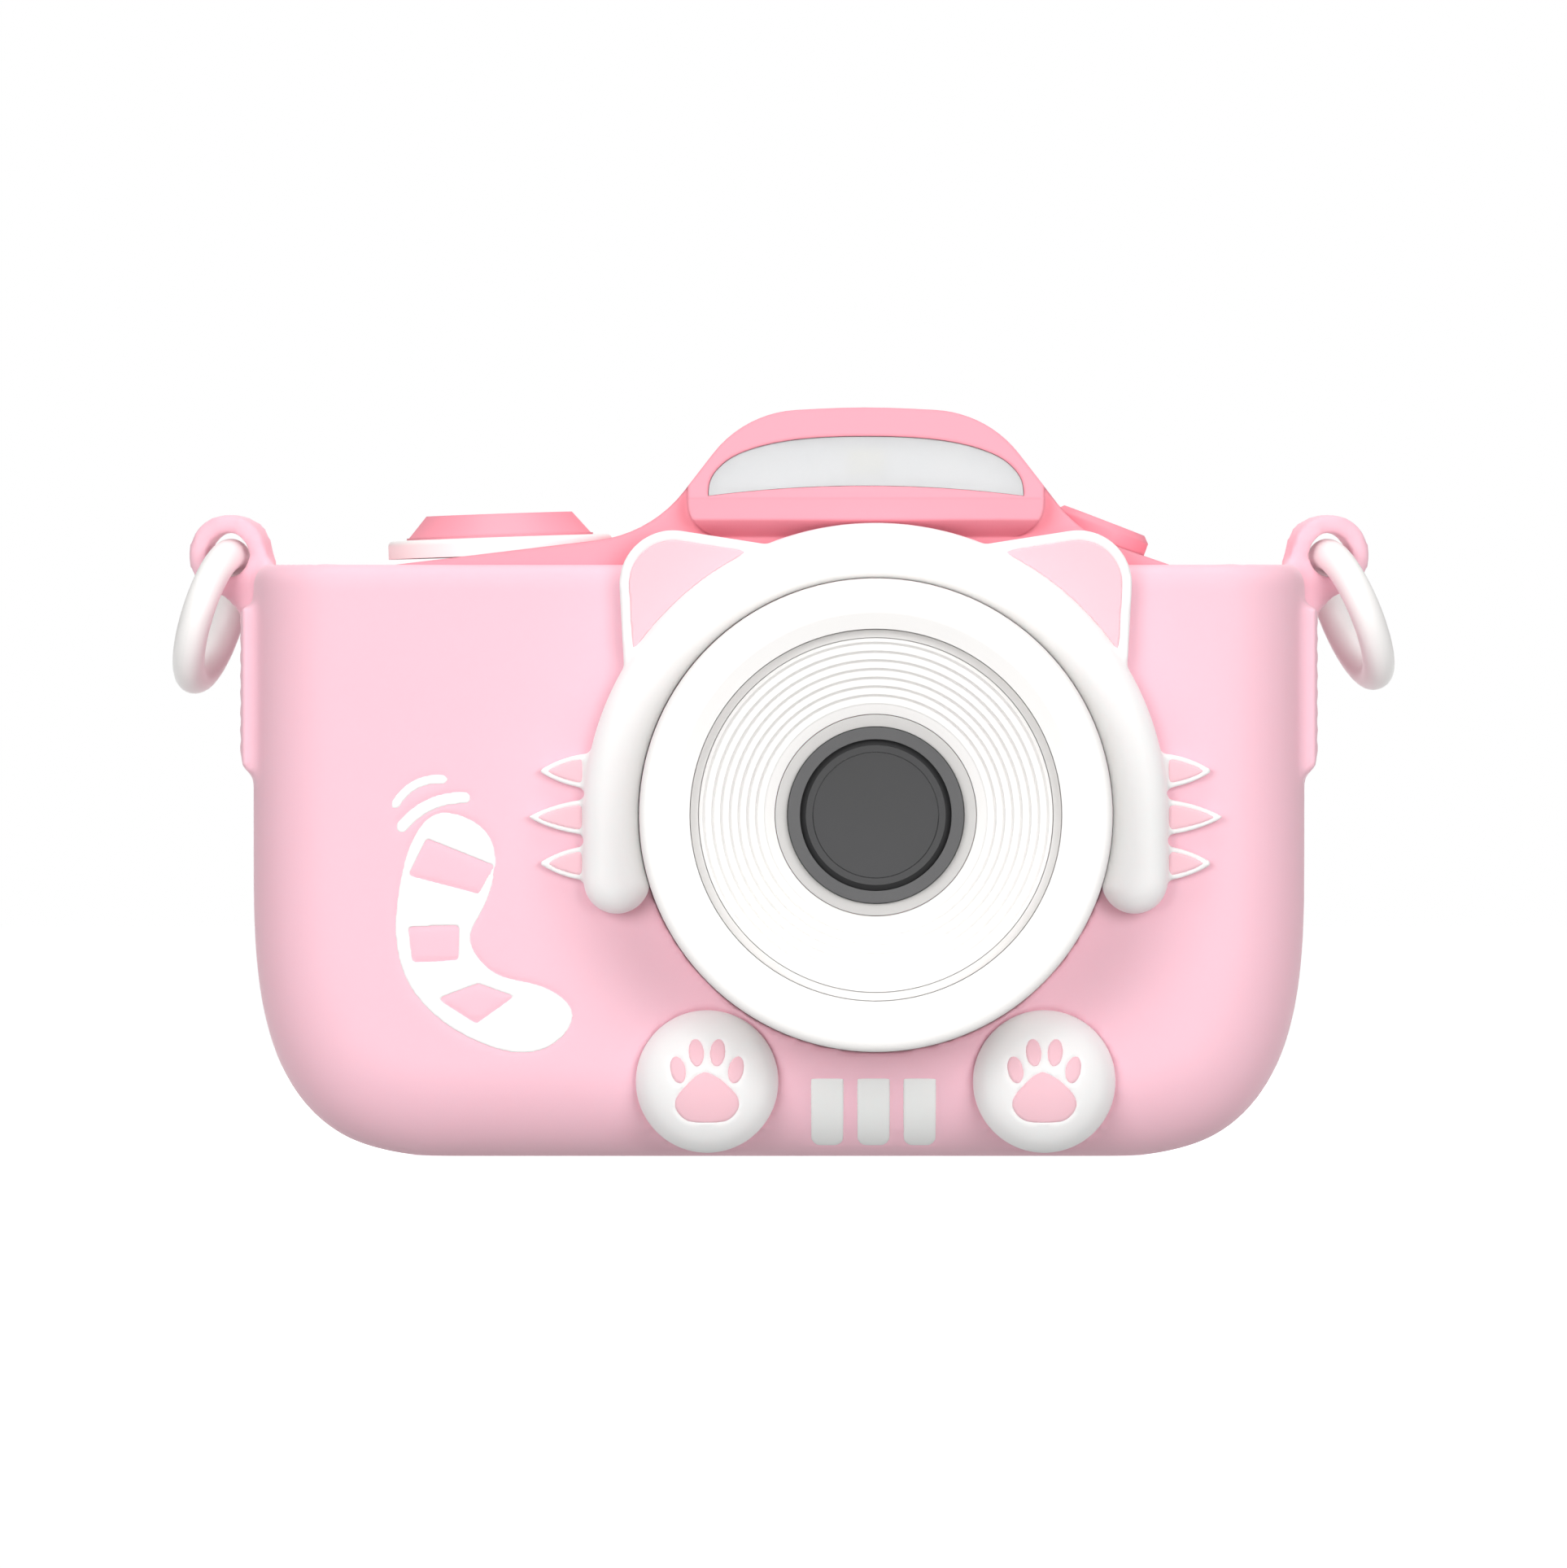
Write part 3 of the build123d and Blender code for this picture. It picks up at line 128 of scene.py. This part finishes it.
def merged_copy(node, name):
    """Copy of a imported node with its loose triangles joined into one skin."""
    only(nodes[node])
    bpy.ops.object.duplicate()
    piece = bpy.context.object
    piece.name = name
    piece.hide_render = False
    piece.data.materials.clear()
    bpy.ops.object.mode_set(mode="EDIT")
    bpy.ops.mesh.select_all(action="SELECT")
    bpy.ops.mesh.remove_doubles(threshold=0.001 * MM)
    bpy.ops.object.mode_set(mode="OBJECT")
    return piece


def cast_in_rubber(node, name, cell, rounds, slot):
    """Piece with the node's shape and the eased edges of a rubber casting."""
    piece = merged_copy(node, name)
    apply_modifier(piece, "REMESH", mode="VOXEL", voxel_size=cell, use_smooth_shade=True)
    apply_modifier(piece, "SMOOTH", factor=0.5, iterations=rounds)
    piece.data.materials.append(finish_of(slot))
    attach(piece, "camera")
    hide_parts(node)


# Materials ----------------------------------------------------------------------------

def linear(hex_colour):
    """sRGB hex to linear RGBA."""
    channels = []
    for start in (0, 2, 4):
        value = int(hex_colour[start:start + 2], 16) / 255
        channels.append(value / 12.92 if value <= 0.04045 else ((value + 0.055) / 1.055) ** 2.4)
    return (*channels, 1.0)


def add_node(tree, kind, links=None, **settings):
    """Adds a shader node, sets inputs and properties by name, and links its inputs."""
    node = tree.nodes.new(kind)
    for name, value in settings.items():
        if hasattr(node, name):
            setattr(node, name, value)
        else:
            node.inputs[name.replace("_", " ")].default_value = value
    for name, source in (links or {}).items():
        tree.links.new(source, node.inputs[name])
    return node


def new_material(name):
    """Empty node material and its Principled shader."""
    material = bpy.data.materials.new(name)
    material.use_nodes = True
    shader = material.node_tree.nodes["Principled BSDF"]
    return material, material.node_tree, shader


def set_shader(shader, **values):
    """Uniform values on the shader's own sockets."""
    for name, value in values.items():
        shader.inputs[name.replace("_", " ")].default_value = value


def shifted(colour, gain):
    """A linear colour made a little lighter or darker."""
    return (*[min(channel * gain, 1.0) for channel in colour[:3]], 1.0)


def moulded(name, colours, drift_mm, grain_mm, grain_depth_mm, rough, spread, edge_mm=0.0, **values):
    """Moulded surface: colour that drifts between two, mould grain, uneven gloss, eased edges."""
    material, tree, shader = new_material(name)
    place = add_node(tree, "ShaderNodeTexCoord").outputs["Object"]
    cloud = add_node(
        tree, "ShaderNodeTexNoise", {"Vector": place},
        Scale=1 / (drift_mm * MM), Detail=3.0,
    )
    tint = add_node(tree, "ShaderNodeMix", {"Factor": cloud.outputs["Fac"]}, data_type="RGBA")
    for socket, colour in zip(MIX_COLOURS, colours):
        tint.inputs[socket].default_value = colour
    tree.links.new(tint.outputs[MIX_RESULT], shader.inputs["Base Color"])
    grain = add_node(
        tree, "ShaderNodeTexNoise", {"Vector": place},
        Scale=1 / (grain_mm * MM), Detail=2.0, Roughness=0.6,
    )
    gloss = add_node(tree, "ShaderNodeMapRange", {"Value": cloud.outputs["Fac"]})
    gloss.inputs["To Min"].default_value = rough - spread
    gloss.inputs["To Max"].default_value = rough + spread
    tree.links.new(gloss.outputs["Result"], shader.inputs["Roughness"])
    bump = add_node(
        tree, "ShaderNodeBump", {"Height": grain.outputs["Fac"]},
        Strength=1.0, Distance=grain_depth_mm * MM,
    )
    if edge_mm:
        eased = add_node(tree, "ShaderNodeBevel", samples=EDGE_SAMPLES, Radius=edge_mm * MM)
        tree.links.new(eased.outputs["Normal"], bump.inputs["Normal"])
    tree.links.new(bump.outputs["Normal"], shader.inputs["Normal"])
    set_shader(shader, **values)
    return material


def hex_pair(base, drift):
    """Two sRGB hex colours as linear ones."""
    return linear(base), linear(drift)


def tint_pair(colour, gain=1.03):
    """A chosen colour and a slightly lighter one."""
    return shifted(colour, 1.0), shifted(colour, gain)


def silicone(name, colour):
    """Silicone rubber from a bead-blasted mould: soft, faintly translucent, no sharp highlight."""
    return moulded(
        name, tint_pair(colour),
        drift_mm=9.0, grain_mm=0.45, grain_depth_mm=0.006, rough=0.52, spread=0.05,
        Subsurface_Weight=0.12, Subsurface_Radius=(0.9, 0.5, 0.5), Subsurface_Scale=1.2 * MM,
        Sheen_Weight=0.15, Sheen_Roughness=0.5, IOR=1.41,
    )


def gloss_abs(name, colour, edge_mm):
    """ABS from a fine spark-eroded mould: satin, with broad soft highlights."""
    return moulded(
        name, tint_pair(colour),
        drift_mm=14.0, grain_mm=0.35, grain_depth_mm=0.004, rough=0.44, spread=0.05,
        edge_mm=edge_mm, IOR=1.54,
    )


def matte_abs(name, base, drift):
    """ABS from a coarse-textured mould: flat sheen and a visible fine grain."""
    return moulded(
        name, hex_pair(base, drift),
        drift_mm=8.0, grain_mm=0.3, grain_depth_mm=0.008, rough=0.6, spread=0.06,
        edge_mm=0.12, IOR=1.54,
    )


def lens_glass():
    """Coated optical cover over a dark throat: a deep grey with a clear, sharp coat."""
    return moulded(
        "Coated lens glass", hex_pair("434343", "404042"),
        drift_mm=5.0, grain_mm=2.0, grain_depth_mm=0.0004, rough=0.16, spread=0.03,
        IOR=1.5, Coat_Weight=0.6, Coat_Roughness=0.04,
    )


def clear_polycarbonate():
    """Polycarbonate with a diffusing inner face: pale, and it blurs what lies behind it."""
    return moulded(
        "Diffusing polycarbonate", hex_pair("FFFFFF", "F6F8FA"),
        drift_mm=6.0, grain_mm=3.0, grain_depth_mm=0.002, rough=0.42, spread=0.03,
        IOR=1.585, Transmission_Weight=0.55, Coat_Weight=0.5, Coat_Roughness=0.05,
    )


def pearl_abs():
    """Pearl-pigmented ABS: a bright satin tray with a faint metallic lift."""
    return moulded(
        "Pearl ABS", hex_pair("F4F4F4", "ECECEE"),
        drift_mm=4.0, grain_mm=0.4, grain_depth_mm=0.003, rough=0.3, spread=0.05,
        IOR=1.54, Metallic=0.15, Sheen_Weight=0.1,
    )


def phosphor_resin():
    """Phosphor-filled lamp resin: dull yellow."""
    return moulded(
        "Phosphor resin", hex_pair("F3E9B4", "E9DC98"),
        drift_mm=1.0, grain_mm=0.3, grain_depth_mm=0.01, rough=0.45, spread=0.05,
        IOR=1.5,
    )


def coated_acrylic():
    """Hard-coated acrylic over a switched-off display: near black and glossy."""
    return moulded(
        "Hard-coated acrylic", hex_pair("0A0B0E", "101116"),
        drift_mm=20.0, grain_mm=4.0, grain_depth_mm=0.0006, rough=0.14, spread=0.03,
        IOR=1.49, Coat_Weight=0.5, Coat_Roughness=0.02,
    )


def solder_mask():
    """Glass-epoxy board under green solder mask: a mottled, slightly glossy green."""
    return moulded(
        "Green solder mask", hex_pair("1F6B45", "2F7F52"),
        drift_mm=2.2, grain_mm=0.5, grain_depth_mm=0.01, rough=0.35, spread=0.06,
        IOR=1.5,
    )


def zinc_plate():
    """Zinc-plated steel: grey metal with a fine cloudy plate."""
    return moulded(
        "Zinc-plated steel", hex_pair("B9BCC0", "A6AAB0"),
        drift_mm=1.5, grain_mm=0.2, grain_depth_mm=0.003, rough=0.32, spread=0.06,
        Metallic=1.0,
    )


def black_plastic():
    """Black glass-filled nylon: matte, with a fine grain."""
    return moulded(
        "Black nylon", hex_pair("1B1B1D", "222225"),
        drift_mm=5.0, grain_mm=0.3, grain_depth_mm=0.01, rough=0.62, spread=0.06,
        IOR=1.53,
    )


def polyimide():
    """Polyimide film: amber and slightly glossy."""
    return moulded(
        "Polyimide film", hex_pair("B9742A", "A86420"),
        drift_mm=3.0, grain_mm=0.6, grain_depth_mm=0.004, rough=0.3, spread=0.05,
        IOR=1.7,
    )


def foil_pouch():
    """Laminated foil pouch: dull silver with soft creases."""
    return moulded(
        "Foil pouch", hex_pair("AEB2B8", "9EA2A8"),
        drift_mm=6.0, grain_mm=2.5, grain_depth_mm=0.05, rough=0.38, spread=0.08,
        Metallic=0.7,
    )


def dark_foam():
    """Open-cell foam: dark, with visible cells."""
    return moulded(
        "Open-cell foam", hex_pair("33353A", "24262A"),
        drift_mm=0.8, grain_mm=0.5, grain_depth_mm=0.15, rough=0.95, spread=0.04,
        IOR=1.4,
    )


def finishes(colours):
    """Every material by the record's slot name, and the hub ring's own grey."""
    nylon = black_plastic()
    return {
        "jacket_silicone": silicone("Pink silicone", colours.jacket),
        "white_silicone": silicone("White silicone", colours.trim),
        "print_ink": silicone("Pink silicone inlay", colours.inlay),
        "bar_silicone": silicone("Grey-white silicone", colours.bars),
        "shell_abs": gloss_abs("Pink ABS", colours.shell, 0.5),
        "white_abs": gloss_abs("White ABS", colours.barrel, 0.12),
        "grey_abs": matte_abs("Light grey ABS", "ECEAE8", "E8E6E4"),
        "hub_abs": matte_abs("Mid grey ABS", "D2D0CE", "CECCCA"),
        "dark_abs": matte_abs("Dark grey ABS", "565656", "525254"),
        "black_plastic": nylon,
        "lens_glass": lens_glass(),
        "clear_pc": clear_polycarbonate(),
        "pearl_abs": pearl_abs(),
        "lamp_resin": phosphor_resin(),
        "screen_acrylic": coated_acrylic(),
        "display_module": nylon,
        "circuit_board": solder_mask(),
        "chip_epoxy": nylon,
        "plated_steel": zinc_plate(),
        "flex_film": polyimide(),
        "cell_foil": foil_pouch(),
        "foam": dark_foam(),
        "card_plastic": nylon,
        "speaker_cone": nylon,
    }


MATERIALS = {}


def finish_of(slot):
    """The material of a slot, made once."""
    if not MATERIALS:
        MATERIALS.update(finishes(bpy.context.scene.toycam_colours))
    return MATERIALS[slot]


def colour_setting(name, description, hex_colour):
    """Colour property with an sRGB hex default."""
    return bpy.props.FloatVectorProperty(
        name=name, description=description, default=linear(hex_colour)[:3],
        subtype="COLOR", size=3, min=0.0, max=1.0,
    )


class ColourSettings(bpy.types.PropertyGroup):
    """Colours of the mouldings that show most."""

    jacket: colour_setting("Jacket", "Soft jacket, its lugs and grips", "FFC8D6")
    trim: colour_setting("Trim", "Cat head, paws, tail and strokes", "FCFBFA")
    inlay: colour_setting("Inlay", "Ears, whiskers and paw prints", "FFCAD4")
    bars: colour_setting("Bars", "Three bars below the lens", "F4F4F2")
    shell: colour_setting("Shell", "Hard shell, top buttons and port door", "FF9FAF")
    barrel: colour_setting("Barrel", "Lens barrel, rings and rear keys", "FAF8F6")


class StudioSettings(bpy.types.PropertyGroup):
    """Camera, floor and lights."""

    view_width: bpy.props.FloatProperty(
        name="View width", description="Width that the camera takes in at the object",
        default=146.1 * MM, unit="LENGTH",
    )
    view_distance: bpy.props.FloatProperty(
        name="View distance", description="Camera's distance in front of the object",
        default=5.0, unit="LENGTH",
    )
    floor_colour: colour_setting("Floor", "Colour of the floor", "FBFBFB")
    floor_glow: bpy.props.FloatProperty(
        name="Floor glow", description="Light that the floor sends out, as a lit table does",
        default=0.7, min=0.0,
    )
    front_power: bpy.props.FloatProperty(
        name="Front light", description="Power of each of the two softboxes in front",
        default=8.3, unit="POWER",
    )
    top_power: bpy.props.FloatProperty(
        name="Top light", description="Power of the softbox overhead", default=4.4, unit="POWER",
    )
    rear_power: bpy.props.FloatProperty(
        name="Rear light", description="Power of the softbox behind", default=10.0, unit="POWER",
    )
    room_light: bpy.props.FloatProperty(
        name="Room light", description="Brightness of the light that comes from all round",
        default=0.33, min=0.0,
    )


class RubberSettings(bpy.types.PropertyGroup):
    """How finely the rubber pieces are cast, and how soft their edges are."""

    jacket_cell: bpy.props.FloatProperty(
        name="Jacket cell", description="Size of the jacket's surface cells",
        default=0.5 * MM, unit="LENGTH", min=0.2 * MM,
    )
    trim_cell: bpy.props.FloatProperty(
        name="Trim cell", description="Size of the head's and paws' surface cells",
        default=0.28 * MM, unit="LENGTH", min=0.1 * MM,
    )
    inlay_cell: bpy.props.FloatProperty(
        name="Inlay cell", description="Size of the inlays' surface cells",
        default=0.16 * MM, unit="LENGTH", min=0.08 * MM,
    )
    mark_size: bpy.props.FloatProperty(
        name="Mark size", description="Radius of the marks on the rear keys",
        default=1.1 * MM, unit="LENGTH",
    )
    easing: bpy.props.IntProperty(
        name="Easing", description="Rounds of smoothing that ease the edges", default=3, min=0, max=20,
    )


class TOYCAM_OT_packed_finishes(bpy.types.Operator):
    """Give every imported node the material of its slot"""

    bl_idname = "toycam.packed_finishes"
    bl_label = "Finish Packed Nodes"

    def execute(self, context):
        for entry in frame["record"]["subparts"]:
            mesh = nodes[entry["node"]].data
            mesh.materials.clear()
            mesh.materials.append(finish_of(entry["material_slot"]))
        nodes["hub_ring"].data.materials[0] = finish_of("hub_abs")
        return {"FINISHED"}


class TOYCAM_OT_jacket(bpy.types.Operator):
    """Cast the soft jacket with its lugs and ribbed grips"""

    bl_idname = "toycam.jacket"
    bl_label = "Jacket"

    def execute(self, context):
        rubber = context.scene.toycam_rubber
        cast_in_rubber("silicone_jacket", "jacket", rubber.jacket_cell, rubber.easing, "jacket_silicone")
        return {"FINISHED"}


class TOYCAM_OT_cat_face(bpy.types.Operator):
    """Cast the white head round the lens and its coloured ears and whiskers"""

    bl_idname = "toycam.cat_face"
    bl_label = "Cat Face"

    def execute(self, context):
        rubber = context.scene.toycam_rubber
        cast_in_rubber("cat_head", "head", rubber.trim_cell, rubber.easing, "white_silicone")
        cast_in_rubber("ear_inlays", "ear_colour", rubber.inlay_cell, rubber.easing, "print_ink")
        cast_in_rubber("whisker_inlays", "whisker_colour", rubber.inlay_cell, rubber.easing, "print_ink")
        return {"FINISHED"}


class TOYCAM_OT_paws(bpy.types.Operator):
    """Cast the two paws and their prints"""

    bl_idname = "toycam.paws"
    bl_label = "Paws"

    def execute(self, context):
        rubber = context.scene.toycam_rubber
        for paw in ("left_paw", "right_paw"):
            cast_in_rubber(paw, f"{paw}_dome", rubber.trim_cell, rubber.easing, "white_silicone")
        cast_in_rubber("paw_prints", "paw_pads", rubber.inlay_cell, rubber.easing, "print_ink")
        return {"FINISHED"}


class TOYCAM_OT_graphics(bpy.types.Operator):
    """Cast the tail, its motion strokes and the three bars, flush with the jacket"""

    bl_idname = "toycam.graphics"
    bl_label = "Tail and Bars"

    def execute(self, context):
        rubber = context.scene.toycam_rubber
        cast_in_rubber("tail_inlay", "tail", rubber.inlay_cell, rubber.easing, "white_silicone")
        cast_in_rubber("tail_strokes", "strokes", rubber.inlay_cell, rubber.easing, "white_silicone")
        cast_in_rubber("front_bars", "bars", rubber.inlay_cell, rubber.easing, "bar_silicone")
        return {"FINISHED"}


def set_mark(mark, name, key):
    """Names a mark, puts its place into its mesh and rides it on its key."""
    mark.name = name
    only(mark)
    bpy.ops.object.transform_apply(location=True, rotation=True, scale=True)
    bpy.ops.object.shade_smooth_by_angle(angle=math.radians(35))
    mark.data.materials.append(finish_of("grey_abs"))
    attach(mark, key)


def bevel_all(mark, width, segments):
    """Rounds every edge of a mark."""
    only(mark)
    bpy.ops.object.mode_set(mode="EDIT")
    bpy.ops.mesh.select_all(action="SELECT")
    bpy.ops.mesh.bevel(offset=width, segments=segments, affect="EDGES", clamp_overlap=True)
    bpy.ops.object.mode_set(mode="OBJECT")


def key_face(key):
    """Middle of a rear key's face."""
    low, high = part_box(f"{key}_key")
    return Vector(((low.x + high.x) / 2, high.y, (low.z + high.z) / 2))


def arrow_mark(key, turn, size):
    """Small raised triangle on a key, turned from up towards the user's left."""
    bpy.ops.mesh.primitive_cylinder_add(
        vertices=3, radius=size, depth=MARK_THICK,
        location=key_face(key), rotation=(math.pi / 2, turn, 0),
    )
    mark = bpy.context.object
    bevel_all(mark, 0.18 * size, 3)
    set_mark(mark, f"{key}_mark", key)


def ring_mark(size):
    """Small raised ring on the OK key."""
    width = 0.32 * size
    bpy.ops.mesh.primitive_cylinder_add(
        vertices=48, radius=size + width / 2, depth=MARK_THICK, end_fill_type="NOTHING",
        location=key_face("ok"), rotation=(math.pi / 2, 0, 0),
    )
    ring = bpy.context.object
    apply_modifier(ring, "SOLIDIFY", thickness=width, offset=-1)
    apply_modifier(ring, "BEVEL", width=MARK_EASE, segments=2, limit_method="ANGLE")
    set_mark(ring, "ok_mark", "ok")


def line_mark(row, size):
    """One of the menu key's three raised lines, the middle one being row 0."""
    pitch = 0.62 * size
    bpy.ops.mesh.primitive_cube_add(size=1, location=key_face("menu") + Vector((0, 0, pitch * row)))
    line = bpy.context.object
    line.scale = (1.7 * size, MARK_THICK, 0.24 * size)
    bpy.ops.object.transform_apply(location=False, rotation=False, scale=True)
    bevel_all(line, MARK_EASE, 2)
    set_mark(line, f"menu_mark_{row + 2}", "menu")


class TOYCAM_OT_key_marks(bpy.types.Operator):
    """Add the raised marks on the rear keys: arrows, a ring, a triangle and three lines"""

    bl_idname = "toycam.key_marks"
    bl_label = "Key Marks"

    def execute(self, context):
        size = context.scene.toycam_rubber.mark_size
        turns = {"up": 0, "left": 90, "down": 180, "right": 270, "play": 270}
        for key, turn in turns.items():
            arrow_mark(key, math.radians(turn), size)
        ring_mark(size)
        for row in (-1, 0, 1):
            line_mark(row, size)
        return {"FINISHED"}


def softbox(name, place, aim, size, power):
    """Square area light."""
    bpy.ops.object.light_add(type="AREA", location=place)
    lamp = bpy.context.object
    lamp.name = name
    lamp.data.shape = "SQUARE"
    lamp.data.size = size
    lamp.data.energy = power
    lamp.rotation_euler = (aim - place).to_track_quat("-Z", "Y").to_euler()
    return lamp


def room(scene, light):
    """World that lights the object evenly and stands behind it as plain white."""
    world = bpy.data.worlds.new("Even white room")
    scene.world = world
    world.use_nodes = True
    tree = world.node_tree
    seen = add_node(tree, "ShaderNodeLightPath").outputs["Is Camera Ray"]
    level = add_node(tree, "ShaderNodeMapRange", {"Value": seen})
    level.inputs["To Min"].default_value = light
    level.inputs["To Max"].default_value = 1.0
    backdrop = tree.nodes["Background"]
    backdrop.inputs["Color"].default_value = (1, 1, 1, 1)
    tree.links.new(level.outputs["Result"], backdrop.inputs["Strength"])


class TOYCAM_OT_studio(bpy.types.Operator):
    """Add the floor, the lights, the world and the camera"""

    bl_idname = "toycam.studio"
    bl_label = "Studio"

    def execute(self, context):
        studio = context.scene.toycam_studio
        context.scene.view_settings.view_transform = "Standard"
        bpy.ops.mesh.primitive_plane_add(size=FLOOR_SIZE, location=(0, 0, cad_low.z))
        floor = context.object
        floor.name = "studio_floor"
        floor.visible_diffuse = False
        material, tree, shader = new_material("Matte paper")
        set_shader(
            shader, Base_Color=(*studio.floor_colour, 1.0), Roughness=0.9,
            Emission_Color=(1, 1, 1, 1), Emission_Strength=studio.floor_glow,
        )
        floor.data.materials.append(material)
        room(context.scene, studio.room_light)
        centre = (cad_low + cad_high) / 2
        for place in FRONT_LIGHTS:
            softbox("Front softbox", place, centre, FRONT_LIGHT_SIZE, studio.front_power)
        softbox("Top softbox", TOP_LIGHT, centre, TOP_LIGHT_SIZE, studio.top_power)
        rear = softbox("Rear softbox", REAR_LIGHT, centre, REAR_LIGHT_SIZE, studio.rear_power)
        rear.visible_glossy = False
        aim = Vector((VIEW_X, VIEW_PLANE_Y, VIEW_Z))
        bpy.ops.object.camera_add(location=aim - Vector((0, studio.view_distance, 0)))
        camera = context.object
        camera.rotation_euler = (math.pi / 2, 0, 0)
        camera.data.lens = camera.data.sensor_width * studio.view_distance / studio.view_width
        camera.data.clip_start = 0.1
        camera.data.clip_end = 20
        context.scene.camera = camera
        return {"FINISHED"}


class TOYCAM_PT_panel(bpy.types.Panel):
    """Lists the toy camera's steps"""

    bl_idname = "TOYCAM_PT_panel"
    bl_label = "Toy Camera"
    bl_space_type = "VIEW_3D"
    bl_region_type = "UI"
    bl_category = "Toy Camera"

    def draw(self, context):
        for step in STEPS:
            self.layout.operator(step.bl_idname)


STEPS = (
    TOYCAM_OT_packed_finishes,
    TOYCAM_OT_jacket,
    TOYCAM_OT_cat_face,
    TOYCAM_OT_paws,
    TOYCAM_OT_graphics,
    TOYCAM_OT_key_marks,
    TOYCAM_OT_studio,
)
CLASSES = (ColourSettings, StudioSettings, RubberSettings, *STEPS, TOYCAM_PT_panel)


def register():
    """Registers the classes and their settings."""
    for cls in CLASSES:
        bpy.utils.register_class(cls)
    bpy.types.Scene.toycam_colours = bpy.props.PointerProperty(type=ColourSettings)
    bpy.types.Scene.toycam_studio = bpy.props.PointerProperty(type=StudioSettings)
    bpy.types.Scene.toycam_rubber = bpy.props.PointerProperty(type=RubberSettings)


def unregister():
    """Takes the settings and classes off again."""
    del bpy.types.Scene.toycam_colours
    del bpy.types.Scene.toycam_studio
    del bpy.types.Scene.toycam_rubber
    for cls in reversed(CLASSES):
        bpy.utils.unregister_class(cls)


def main():
    """Runs every step."""
    register()
    for step in STEPS:
        getattr(bpy.ops.toycam, step.bl_idname.split(".")[1])()


if __name__ == "__main__":
    main()
